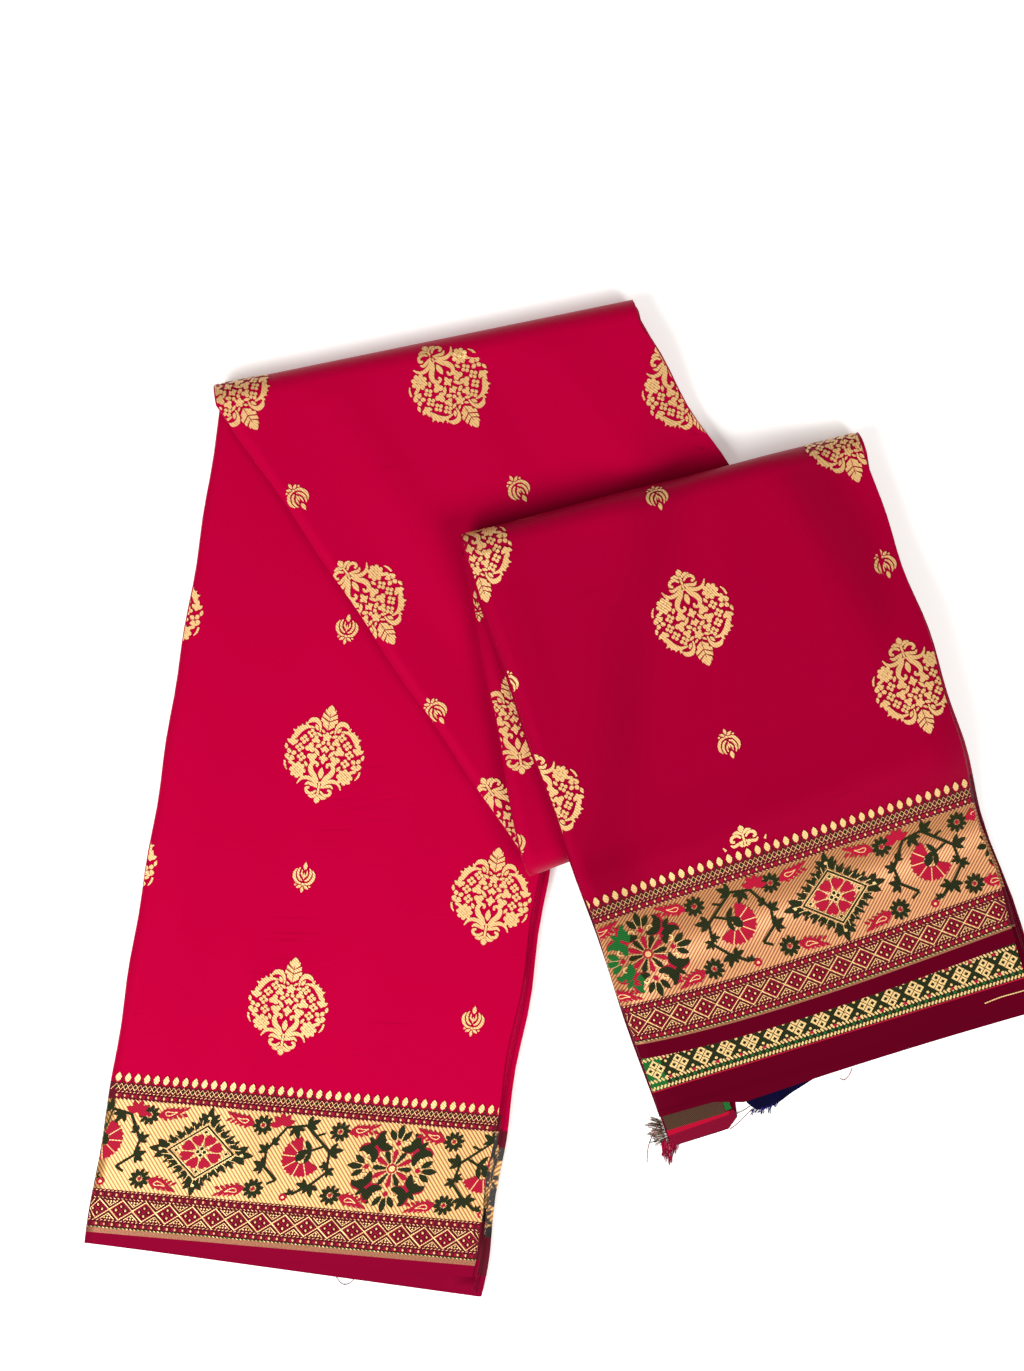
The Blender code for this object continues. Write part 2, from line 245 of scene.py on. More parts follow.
def edge_shift(side, layer, place):
    """How far out a pleat's edge stands, at a place counted in turns from the start."""
    pair = 2 * (int(layer) // 2) if side == "left" else 2 * ((int(layer) + 1) // 2) - 1
    middle = group_place(layer_height(max(0, min(LAYERS - 1, pair))))
    tops, table = (LEFT_GROUP_TOPS, LEFT_SHIFTS) if side == "left" else (RIGHT_GROUP_TOPS, RIGHT_SHIFTS)
    shifts = table[[middle < top for top in tops].index(True)]
    step = min(int(place), 3)
    share = place - step
    jitter = PLEAT_JITTER[pair + 1] if 0 < pair < LAYERS - 2 else 0.0
    return shifts[step] * (1 - share) + shifts[step + 1] * share + jitter


def share_across(row, place, travelled):
    """Where a row of the section lies across the band, as a share of its width."""
    side, inset, share, height, layer = row
    if side == "middle":
        return share
    turns = 2 * math.pi * travelled
    ripple = RIPPLE_HEIGHT * math.sin(turns / RIPPLE_LENGTH)
    ripple += LONG_RIPPLE_HEIGHT * math.sin(turns / LONG_RIPPLE_LENGTH + LONG_RIPPLE_LEAD)
    out = edge_shift(side, layer, place) - inset + ripple * (1.0 if side == "right" else LEFT_RIPPLE_SHARE)
    return -out / BAND_WIDTH if side == "left" else 1.0 + out / BAND_WIDTH


def selvedge_run(runs, layer, share):
    """How far a layer's selvedge runs past an edge line."""
    values = []
    for near in (math.floor(layer), math.ceil(layer)):
        group = round(group_place(layer_height(near)))
        values.append(runs[group][0] * (1 - share) + runs[group][1] * share + END_JITTER[near])
        if runs is FINISH_RUNS and group < 2:
            values[-1] += FINISH_SAG * math.sin(math.pi * max(0.0, min(1.0, share)) ** SAG_LEAN)
        if runs is FINISH_RUNS and group == BESIDE_TONGUE_GROUP and TONGUE_WIDTH < share < 1:
            values[-1] += BESIDE_TONGUE_SAG * ((1 - share) / (1 - TONGUE_WIDTH)) ** 2
    return values[0] + (values[1] - values[0]) * (layer - math.floor(layer))


def finish_run(layer, share):
    """The same past the finish edge, with the tongue of the lowest layers."""
    if layer >= LAYERS - TONGUE_LAYERS - 0.5 and share < TONGUE_WIDTH:
        corner = max(0.0, (share - TONGUE_CORNER_FROM) / (TONGUE_WIDTH - TONGUE_CORNER_FROM))
        return TONGUE_RUN - TONGUE_LAYER_STEP * (LAYERS - 1 - layer) - TONGUE_CORNER_RUN * corner ** 2
    return selvedge_run(FINISH_RUNS, layer, share)


def section():
    """The back-and-forth line of the pleats: rows of side, inset, share across, height and layer."""
    rows = []
    for layer in range(LAYERS):
        height = layer_height(layer)
        steps = FINE_ACROSS if layer in (0, LAYERS - 1) else PACKED_ACROSS
        across = [("left", FOLD_INSET, 0.0)]
        across += [("middle", 0.0, step / steps) for step in range(1, steps)]
        across.append(("right", FOLD_INSET, 1.0))
        if layer % 2 == 0:
            across.reverse()
        rows += [(side, inset, share, height, float(layer)) for side, inset, share in across]
        if layer < LAYERS - 1:
            side, share = ("left", 0.0) if layer % 2 == 0 else ("right", 1.0)
            middle = (height + layer_height(layer + 1)) / 2
            rows.append((side, 0.0, share, middle, layer + 0.5))
    return rows


def stations():
    """Places along the band: a span or turn, how far through it, and the cloth woven from there on."""
    places = [("span", LEFT_ARM, ("border", 0.0))]
    for distance, cloth in BORDER:
        places.append(("span", LEFT_ARM, ("border", distance)))
    for span in range(4):
        steps = SPAN_STEPS[span]
        last = steps if span < RIGHT_ARM else steps - 1
        for step in range(1, last + 1):
            places.append(("span", span, ("plain", step / steps)))
        if span < RIGHT_ARM:
            for step in range(1, TURN_STEPS + 1):
                places.append(("turn", span, step / TURN_STEPS))
    places.append(("span", RIGHT_ARM, ("border", BORDER_DEPTH)))
    for distance, cloth in reversed(BORDER[:-1]):
        places.append(("span", RIGHT_ARM, ("border", distance)))
    places.append(("span", RIGHT_ARM, ("border", 0.0)))
    return places


def plan_at(span, share, distance, layer):
    """The place of a layer seen from above, at a share across a span and a distance from its start."""
    start = along(SPANS[span][0], share)
    end = along(SPANS[span][1], share)
    travel = (end - start).normalized()
    length = (end - start).length
    flat = start + travel * distance
    if span == LEFT_ARM:
        fade = min(1.0, (length - distance) / (length - BORDER_DEPTH))
        flat = flat - travel * selvedge_run(START_RUNS, layer, share) * fade
    if span == RIGHT_ARM:
        uneven = max(0.0, (distance / length - UNEVEN_FROM) / (1 - UNEVEN_FROM))
        flat = flat + travel * finish_run(layer, share) * uneven
    return flat


def span_point(span, spot, row):
    """A point of the section where a span lies or hangs, in millimetres."""
    near, far = SPANS[span]
    kind, amount = spot
    whole = (along(near, 0.5) - along(far, 0.5)).length
    depth = BORDER_DEPTH if span in (LEFT_ARM, RIGHT_ARM) else 0.0
    if kind == "border":
        rough = amount / whole if span == LEFT_ARM else 1 - amount / whole
    elif span == LEFT_ARM:
        rough = depth / whole * (1 - amount) + amount
    else:
        rough = amount * (1 - depth / whole)
    share = share_across(row, span + rough, span * SPAN_TRAVEL + whole * rough)
    length = (along(near, share) - along(far, share)).length
    if kind == "border":
        distance = amount if span == LEFT_ARM else length - amount
    elif span == LEFT_ARM:
        distance = depth + (length - depth) * amount
    else:
        distance = (length - depth) * amount
    flat = plan_at(span, share, distance, row[4])
    offset = offset_in(span, row[3])
    height = support(span, flat) + offset + crease(span, flat) * offset / STACK
    return Vector((flat.x, flat.y, height))


def turn_point(turn, part, row):
    """A point of the section on its way round a turn, in millimetres."""
    length = (along(SPANS[turn][0], 0.5) - along(SPANS[turn][1], 0.5)).length
    share = share_across(row, turn + 1.0, turn * SPAN_TRAVEL + length)
    axis = along(AXES[turn], share)
    radius = STACK + TURN_RADIUS - offset_in(turn, row[3])
    level = axis + outward(turn) * (radius * math.sin(math.pi * part))
    middle = support(turn, axis) + STACK + TURN_RADIUS
    return Vector((level.x, level.y, middle - radius * math.cos(math.pi * part)))


def section_point(place, row):
    """A point of the cloth at one of the places along the band."""
    kind, index, spot = place
    return span_point(index, spot, row) if kind == "span" else turn_point(index, spot, row)


def halfway(place, following):
    """The place halfway between two places along the band."""
    if following[0] == "turn":
        begun = place[2] if place[0] == "turn" and place[1] == following[1] else 0.0
        return ("turn", following[1], (begun + following[2]) / 2)
    kind, amount = following[2]
    begun = 0.0
    if place[0] == "span" and place[2][0] == kind and place[1] == following[1]:
        begun = place[2][1]
    elif place[0] == "span" and kind == "border" and following[1] == RIGHT_ARM:
        return ("span", RIGHT_ARM, ("plain", 1 - 0.5 / SPAN_STEPS[RIGHT_ARM]))
    return ("span", following[1], (kind, (begun + amount) / 2))


def to_frame(point):
    """From picture millimetres to the part's metres."""
    return Vector((point.x + SHEET_MIDDLE.x, point.y + SHEET_MIDDLE.y, point.z)) * MM


CLOTHS = ("silk", "selvedge", "copper", "dark rows", "gold twill", "figured twill")
BORDERED_GROUPS = 1.5                     # higher groups of the right arm's stack show plain selvedge
ROUNDING = 1e-6


def cloth_woven(place, following, row):
    """Which of the woven cloths lies between two places along the band."""
    kind, span, spot = following
    if kind != "span" or spot[0] != "border" or span not in (LEFT_ARM, RIGHT_ARM):
        return CLOTHS.index("silk")
    inner = spot[1] if span == LEFT_ARM else place[2][1]
    if span == RIGHT_ARM and (place[2][0] != "border" or inner <= 0):
        return CLOTHS.index("silk")
    if span == RIGHT_ARM and group_place(row[3]) > BORDERED_GROUPS:
        return CLOTHS.index("selvedge")
    for reach, cloth in BORDER:
        if inner <= reach + ROUNDING:
            thin_line = span == RIGHT_ARM and reach < FAR_LINE_FROM + ROUNDING
            covered = span == LEFT_ARM and row[4] < LAYERS - 1
            if cloth == "copper" and (thin_line or covered):
                return CLOTHS.index("selvedge")
            if cloth == "gold twill" and covered:
                return CLOTHS.index("figured twill")
            return CLOTHS.index(cloth)
    return CLOTHS.index("silk")


def weave_cloth():
    """The sheet as one mesh: its outermost layers finely divided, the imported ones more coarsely."""
    rows = section()
    places = stations()
    points = []
    coordinates = []
    columns = []
    travelled = [0.0]
    middle = ("middle", 0.0, 0.5, STACK / 2, LAYERS / 2 - 1)
    for place, following in zip(places, places[1:]):
        step = section_point(following, middle) - section_point(place, middle)
        travelled.append(travelled[-1] + step.length)
    for row in rows:
        fine = row[4] in (0.0, LAYERS - 1.0)
        column = []
        for index, place in enumerate(places):
            share = row[2] if int(row[4]) % 2 else 1 - row[2]
            thread = (int(row[4]) + share) * BAND_WIDTH
            column.append(len(points))
            points.append(to_frame(section_point(place, row)))
            coordinates.append((thread, travelled[index]))
            if fine and index + 1 < len(places):
                column.append(len(points))
                points.append(to_frame(section_point(halfway(place, places[index + 1]), row)))
                coordinates.append((thread, (travelled[index] + travelled[index + 1]) / 2))
        columns.append((fine, column))
    faces = []
    cloths = []
    for number in range(len(rows) - 1):
        (fine, column), (next_fine, next_column) = columns[number], columns[number + 1]
        for index in range(len(places) - 1):
            cloth = cloth_woven(places[index], places[index + 1], rows[number])
            first = column[2 * index:2 * index + 3] if fine else column[index:index + 2]
            second = next_column[2 * index:2 * index + 3] if next_fine else next_column[index:index + 2]
            made = stitch(first, second)
            faces += made
            cloths += [cloth] * len(made)
    return points, coordinates, faces, cloths


def stitch(first, second):
    """Faces between two runs of points, which have two or three points each."""
    if len(first) == len(second):
        return [(first[i], second[i], second[i + 1], first[i + 1]) for i in range(len(first) - 1)]
    if len(first) == 3:
        near, middle, far = first
        return [(near, second[0], middle), (middle, second[0], second[1]), (middle, second[1], far)]
    near, middle, far = second
    return [(first[0], near, middle), (first[0], middle, first[1]), (middle, far, first[1])]


def linear(code):
    """A linear colour from an sRGB hex code."""
    values = [int(code[i:i + 2], 16) / 255 for i in (1, 3, 5)]
    return tuple(v / 12.92 if v <= 0.04045 else ((v + 0.055) / 1.055) ** 2.4 for v in values) + (1.0,)


def node(material, kind, settings=None, links=None):
    """Add one node with its settings, socket values and links to its inputs."""
    made = material.node_tree.nodes.new(kind)
    for name, value in (settings or {}).items():
        if isinstance(name, int) or name in made.inputs:
            made.inputs[name].default_value = value
        else:
            setattr(made, name, value)
    for name, source in (links or {}).items():
        material.node_tree.links.new(source, made.inputs[name])
    return made


def new_material(name):
    """An empty material with its surface shader."""
    material = bpy.data.materials.new(name)
    material.use_nodes = True
    return material, material.node_tree.nodes["Principled BSDF"]


LOOM_WIDTH = 1150.0
PAINTED_SHADE_PLACES = (0.5, 0.68, 0.86)           # shares of the loom's width at which the painted shade is given
NO_PAINTED_SHADE = (1.0, 1.0, 1.0, 1.0, 1.0)    # at both selvedges and at these places


def silk_material(name, deep, lit, sheen, tones=NO_PAINTED_SHADE):
    """Plain-woven silk: fine weft ribs, faint slubs and a coloured sheen."""
    material, shader = new_material(name)
    where = node(material, "ShaderNodeUVMap", {"uv_map": "threads"})
    slubs = node(material, "ShaderNodeMapping", {"Scale": (0.02, 0.5, 1.0)}, {"Vector": where.outputs["UV"]})
    streaks = node(material, "ShaderNodeTexNoise", {"Scale": 1.0, "Detail": 4.0},
                   {"Vector": slubs.outputs["Vector"]})
    patches = node(material, "ShaderNodeTexNoise", {"Scale": 0.012, "Detail": 2.0},
                   {"Vector": where.outputs["UV"]})
    blend = node(material, "ShaderNodeMath", {"operation": "ADD"},
                 {0: streaks.outputs["Fac"], 1: patches.outputs["Fac"]})
    ramp = node(material, "ShaderNodeValToRGB", {}, {"Fac": blend.outputs["Value"]})
    ramp.color_ramp.elements[0].position = 0.35
    ramp.color_ramp.elements[0].color = linear(deep)
    ramp.color_ramp.elements[1].position = 0.75
    ramp.color_ramp.elements[1].color = linear(lit)
    # painted shade: the silk darkens across the loom, to the far selvedge, so the right arm lies darker
    split = node(material, "ShaderNodeSeparateXYZ", {}, {"Vector": where.outputs["UV"]})
    share = node(material, "ShaderNodeMath", {"operation": "DIVIDE", 1: LOOM_WIDTH}, {0: split.outputs["Y"]})
    depth = node(material, "ShaderNodeValToRGB", {}, {"Fac": share.outputs["Value"]})
    depth.color_ramp.elements[0].color = (tones[0], tones[0], tones[0], 1.0)
    depth.color_ramp.elements[1].color = (tones[-1], tones[-1], tones[-1], 1.0)
    for place, tone in zip(PAINTED_SHADE_PLACES, tones[1:-1]):
        depth.color_ramp.elements.new(place).color = (tone, tone, tone, 1.0)
    toned = node(material, "ShaderNodeHueSaturation", {},
                 {"Color": ramp.outputs["Color"], "Value": depth.outputs["Color"]})
    material.node_tree.links.new(toned.outputs["Color"], shader.inputs["Base Color"])
    ribs = node(material, "ShaderNodeTexWave",
                {"wave_type": "BANDS", "bands_direction": "Y", "Scale": 0.55, "Distortion": 0.6,
                 "Detail": 2.0},
                {"Vector": where.outputs["UV"]})
    bump = node(material, "ShaderNodeBump", {"Strength": 0.12, "Distance": 0.0002},
                {"Height": ribs.outputs["Fac"]})
    material.node_tree.links.new(bump.outputs["Normal"], shader.inputs["Normal"])
    shader.inputs["Roughness"].default_value = 0.45
    shader.inputs["Sheen Weight"].default_value = 0.05
    shader.inputs["Sheen Roughness"].default_value = 0.4
    shader.inputs["Sheen Tint"].default_value = linear(sheen)
    shader.inputs["Specular IOR Level"].default_value = 0.12
    shader.inputs["Specular Tint"].default_value = linear(sheen)
    return material


# Deep crimson with a fine rib; painted shade leaves it bright on the left arm and darker on the right one
silk = silk_material("crimson_mulberry_silk_plain_weave_with_painted_shade", "#8E0022", "#B40036", "#F01060",
                     (0.86, 0.8, 0.7, 0.6, 0.36))
# Plain maroon, the quiet frame of both borders; painted shade makes it nearly black red at the far selvedge
selvedge = silk_material("maroon_silk_selvedge_with_painted_shade", "#640015", "#780426", "#A0103C",
                         (1.0, 0.8, 0.6, 0.5, 0.45))


def metal_thread_material(name, shade, bright, roughness, metallic):
    """Flat metallic thread wound on silk: short bright floats side by side."""
    material, shader = new_material(name)
    where = node(material, "ShaderNodeUVMap", {"uv_map": "threads"})
    floats = node(material, "ShaderNodeTexNoise", {"Scale": 1.6, "Detail": 3.0},
                  {"Vector": where.outputs["UV"]})
    ramp = node(material, "ShaderNodeValToRGB", {}, {"Fac": floats.outputs["Fac"]})
    ramp.color_ramp.elements[0].position = 0.3
    ramp.color_ramp.elements[0].color = linear(shade)
    ramp.color_ramp.elements[1].position = 0.65
    ramp.color_ramp.elements[1].color = linear(bright)
    material.node_tree.links.new(ramp.outputs["Color"], shader.inputs["Base Color"])
    shader.inputs["Roughness"].default_value = roughness
    shader.inputs["Metallic"].default_value = metallic
    return material


# One thin warm line between the plain selvedge and the figured border
copper = metal_thread_material("copper_thread_line", "#6C3420", "#96603E", 0.5, 0.4)
# Brown maroon, dark enough that the gold beads, lattice and drops stand out on it
dark_rows = silk_material("brown_maroon_border_ground", "#400E16", "#5C1422", "#804040")

TWILL_PITCH = 2.0                         # millimetres from one slanting rib to the next
TWILL_LEAN = 0.8
FAR_HUE = -0.014                          # the far border's gold is a little redder and darker
FAR_TONE = -0.1


def twill_material(name, figured):
    """Gold thread bound in a steep twill, red-brown silk between, and dark spots where it is figured."""
    material, shader = new_material(name)
    where = node(material, "ShaderNodeUVMap", {"uv_map": "threads"})
    split = node(material, "ShaderNodeSeparateXYZ", {}, {"Vector": where.outputs["UV"]})
    # the twill slants the other way at the far selvedge, more than half a loom width on
    far = node(material, "ShaderNodeMath", {"operation": "GREATER_THAN", 1: LOOM_WIDTH / 2},
               {0: split.outputs["Y"]})
    hand = node(material, "ShaderNodeMath", {"operation": "MULTIPLY_ADD", 1: -2 * TWILL_LEAN, 2: TWILL_LEAN},
                {0: far.outputs["Value"]})
    lean = node(material, "ShaderNodeMath", {"operation": "MULTIPLY"},
                {0: split.outputs["Y"], 1: hand.outputs["Value"]})
    slant = node(material, "ShaderNodeMath", {"operation": "ADD"},
                 {0: split.outputs["X"], 1: lean.outputs["Value"]})
    pitch = node(material, "ShaderNodeMath", {"operation": "DIVIDE", 1: TWILL_PITCH},
                 {0: slant.outputs["Value"]})
    stripe = node(material, "ShaderNodeMath", {"operation": "FRACT"}, {0: pitch.outputs["Value"]})
    ramp = node(material, "ShaderNodeValToRGB", {}, {"Fac": stripe.outputs["Value"]})
    ramp.color_ramp.elements[0].position = 0.0
    ramp.color_ramp.elements[0].color = linear("#662210")
    ramp.color_ramp.elements[1].position = 0.46
    ramp.color_ramp.elements[1].color = linear("#DDAF68")
    ramp.color_ramp.elements.new(0.66).color = linear("#C88E4A")
    ramp.color_ramp.elements.new(1.0).color = linear("#6A2412")
    hue = node(material, "ShaderNodeMath", {"operation": "MULTIPLY_ADD", 1: FAR_HUE, 2: 0.5},
               {0: far.outputs["Value"]})
    tone = node(material, "ShaderNodeMath", {"operation": "MULTIPLY_ADD", 1: FAR_TONE, 2: 1.0},
                {0: far.outputs["Value"]})
    toned = node(material, "ShaderNodeHueSaturation", {},
                 {"Color": ramp.outputs["Color"], "Hue": hue.outputs["Value"],
                  "Value": tone.outputs["Value"]})
    material.node_tree.links.new(toned.outputs["Color"], shader.inputs["Base Color"])
    if figured:
        spots = node(material, "ShaderNodeTexNoise", {"Scale": 0.16, "Detail": 3.0},
                     {"Vector": where.outputs["UV"]})
        edge = node(material, "ShaderNodeValToRGB", {}, {"Fac": spots.outputs["Fac"]})
        edge.color_ramp.elements[0].position = 0.5
        edge.color_ramp.elements[0].color = linear("#1C1C0E")
        edge.color_ramp.elements[1].position = 0.53
        edge.color_ramp.elements[1].color = linear("#FFFFFF")
        darker = node(material, "ShaderNodeVectorMath", {"operation": "MULTIPLY"},
                      {0: toned.outputs["Color"], 1: edge.outputs["Color"]})
        material.node_tree.links.new(darker.outputs["Vector"], shader.inputs["Base Color"])
    bump = node(material, "ShaderNodeBump", {"Strength": 0.5, "Distance": 0.0003},
                {"Height": stripe.outputs["Value"]})
    material.node_tree.links.new(bump.outputs["Normal"], shader.inputs["Normal"])
    shader.inputs["Roughness"].default_value = 0.42
    shader.inputs["Metallic"].default_value = 0.35
    return material


# Gold striped with red-brown, like a flat rope: the brightest part of the cloth
gold_twill = twill_material("gold_zari_twill_band", False)
# The same band at the edges of the covered layers, where its dark figures show only as spots
figured_twill = twill_material("gold_zari_twill_with_dark_inlay", True)

points, coordinates, faces, cloths = weave_cloth()
mesh = bpy.data.meshes.new("sari_silk")
mesh.from_pydata(points, [], faces)
mesh.validate()
threads = mesh.uv_layers.new(name="threads")
for loop in mesh.loops:
    threads.data[loop.index].uv = coordinates[loop.vertex_index]
for material in (silk, selvedge, copper, dark_rows, gold_twill, figured_twill):
    mesh.materials.append(material)
mesh.polygons.foreach_set("material_index", cloths)
mesh.polygons.foreach_set("use_smooth", [True] * len(faces))
sari = bpy.data.objects.new("sari_silk", mesh)
bpy.context.scene.collection.objects.link(sari)
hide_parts("sari_cloth")
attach(sari, "root")

# The woven figures of the field
# Extra wefts of gold thread on the silk, bound in by the weaver where each figure stands: a big round
# bouquet and a small bud, in rows along the cloth. They bend with the cloth round its folds.

FIGURE_LIFT = 0.24                        # floats stand a little above the ground weave
WRAP_END = 2.2                            # figures stop being seen this far round a fold, in radians
EDGE_MARGIN = 0.3                         # figures end this far inside the band's edge
OVERLAP_STEP = 0.004
OVERLAP_STEPS = 11
FACING_DOWN = -0.2                        # a figure's face whose normal points lower than this is turned


def on_cloth(span, plan, lift, below=0.0):
    """A point on the top of a span, or round its folds, from a place on the span laid out flat."""
    offset = STACK - below + lift
    if span > 0:
        beyond = (plan - AXES[span - 1][0]).dot(outward(span - 1))
        if beyond > 0:
            foot = plan - outward(span - 1) * beyond
            radius = TURN_RADIUS + offset
            angle = beyond / radius
            level = foot + outward(span - 1) * (radius * math.sin(angle))
            middle = support(span - 1, foot) + STACK + TURN_RADIUS
            return Vector((level.x, level.y, middle + radius * math.cos(angle))) if angle < WRAP_END else None
    if span < 3 and (plan - AXES[span][0]).dot(outward(span)) > 0:
        return None
    return Vector((plan.x, plan.y, support(span, plan) + offset + crease(span, plan)))


def kept_inside(span, plan):
    """A place moved in from beyond the band's edges, and how far beyond it was."""
    near, far = SPANS[span]
    top_layer = 0.0 if span % 2 else LAYERS - 1.0
    for side, edge in (("left", 0), ("right", 1)):
        run = (far[edge] - near[edge]).normalized()
        part = (plan - near[edge]).dot(run) / (far[edge] - near[edge]).length
        part = max(0.0, min(1.0, part))
        middle_length = (along(near, 0.5) - along(far, 0.5)).length
        row = (side, 0.0, float(edge), 0.0, top_layer)
        share = share_across(row, span + part, span * SPAN_TRAVEL + middle_length * part)
        stands_out = -share * BAND_WIDTH if side == "left" else (share - 1) * BAND_WIDTH
        inward = Vector((-run.y, run.x))
        if inward.dot(near[1 - edge] - near[edge]) < 0:
            inward = -inward
        if span > 0 and (plan - near[0]).dot(outward(span - 1)) > 0:
            inward = (near[1 - edge] - near[edge]).normalized()
        beyond = EDGE_MARGIN - stands_out - (plan - near[edge]).dot(inward)
        if beyond > 0:
            return plan + inward * beyond, beyond
    return plan, 0.0


class Weaver:
    """Collects the floats of one thread colour as flat shapes on the cloth."""

    def __init__(self, lift):
        self.lift = lift
        self.points = []
        self.faces = []

    def weave(self, span, plans, below=0.0):
        """Add one shape, given by its corners' places on a span laid out flat."""
        placed = [kept_inside(span, plan) for plan in plans]
        if min(beyond for plan, beyond in placed) > 0:
            return
        # each shape lies a hair above or below its neighbours, so that no two share a face
        lift = self.lift + OVERLAP_STEP * (len(self.faces) % OVERLAP_STEPS)
        corners = [on_cloth(span, plan, lift, below) for plan, beyond in placed]
        if None in corners:
            return
        start = len(self.points)
        self.points += [to_frame(corner) for corner in corners]
        self.faces.append(tuple(range(start, start + len(corners))))

    def finish(self, name, material, slot):
        """Make the collected shapes into one piece that lies on the cloth, faces up."""
        mesh = bpy.data.meshes.new(name)
        mesh.from_pydata(self.points, [], self.faces)
        mesh.materials.append(material)
        mesh.validate()
        body = bmesh.new()
        body.from_mesh(mesh)
        bmesh.ops.triangulate(body, faces=[face for face in body.faces if len(face.verts) > 3])
        body.normal_update()
        bmesh.ops.reverse_faces(body, faces=[face for face in body.faces if face.normal.z < FACING_DOWN])
        body.to_mesh(mesh)
        body.free()
        piece = bpy.data.objects.new(name, mesh)
        bpy.context.scene.collection.objects.link(piece)
        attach(piece, "root")


def oval(x, y, half_length, half_width, heading=0.0, sides=8):
    """A round or long spot."""
    turned = math.radians(heading)
    corners = []
    for index in range(sides):
        angle = 2 * math.pi * index / sides
        on = half_length * math.cos(angle)
        off = half_width * math.sin(angle)
        corners.append((x + on * math.cos(turned) - off * math.sin(turned),
                        y + on * math.sin(turned) + off * math.cos(turned)))
    return corners


LEAF_OUTLINE = (
    (0.0, 0.0), (0.2, 0.36), (0.5, 0.5), (0.8, 0.3), (1.0, 0.0), (0.8, -0.3), (0.5, -0.5), (0.2, -0.36),
)


def leaf(x, y, length, width, heading):
    """A pointed leaf that grows from its stalk end."""
    turned = math.radians(heading)
    return [(x + on * length * math.cos(turned) - off * width * math.sin(turned),
             y + on * length * math.sin(turned) + off * width * math.cos(turned)) for on, off in LEAF_OUTLINE]


def stem(points, width, end_width=None):
    """A line drawn through points, as short pieces, which widens or thins towards its end."""
    end_width = width if end_width is None else end_width
    sides = []
    for index, (x, y) in enumerate(points):
        before = points[max(0, index - 1)]
        after = points[min(len(points) - 1, index + 1)]
        run = Vector((after[0] - before[0], after[1] - before[1])).normalized()
        half = (width + (end_width - width) * index / (len(points) - 1)) / 2
        sides.append(((x - run.y * half, y + run.x * half), (x + run.y * half, y - run.x * half)))
    return [[first[0], first[1], second[1], second[0]] for first, second in zip(sides, sides[1:])]


def swell(points, widths):
    """A line whose width follows a list of widths, one for each point."""
    sides = []
    for index, (x, y) in enumerate(points):
        before = points[max(0, index - 1)]
        after = points[min(len(points) - 1, index + 1)]
        run = Vector((after[0] - before[0], after[1] - before[1])).normalized()
        place = index * (len(widths) - 1) / (len(points) - 1)
        lower = min(int(place), len(widths) - 2)
        half = (widths[lower] + (widths[lower + 1] - widths[lower]) * (place - lower)) / 2
        sides.append(((x - run.y * half, y + run.x * half), (x + run.y * half, y - run.x * half)))
    return [[first[0], first[1], second[1], second[0]] for first, second in zip(sides, sides[1:])]


def smooth(points, steps=3):
    """More points on a soft curve through a few."""
    curve = []
    for index in range(len(points) - 1):
        p0 = points[max(0, index - 1)]
        p1 = points[index]
        p2 = points[index + 1]
        p3 = points[min(len(points) - 1, index + 2)]
        for step in range(steps):
            t = step / steps
            curve.append(tuple(0.5 * (2 * p1[k] + (p2[k] - p0[k]) * t
                                      + (2 * p0[k] - 5 * p1[k] + 4 * p2[k] - p3[k]) * t * t
                                      + (3 * p1[k] - p0[k] - 3 * p2[k] + p3[k]) * t ** 3) for k in (0, 1)))
    curve.append(points[-1])
    return curve


def round_petals(x, y, reach, count, length, width, first=90.0):
    """Petals set round a middle."""
    shapes = []
    for petal in range(count):
        heading = first + 360.0 * petal / count
        angle = math.radians(heading)
        shapes.append(oval(x + reach * math.cos(angle), y + reach * math.sin(angle), length, width, heading))
    return shapes


def mirrored(shapes):
    """Shapes and their mirror image about the figure's middle line."""
    return shapes + [[(-x, y) for x, y in reversed(corners)] for corners in shapes]


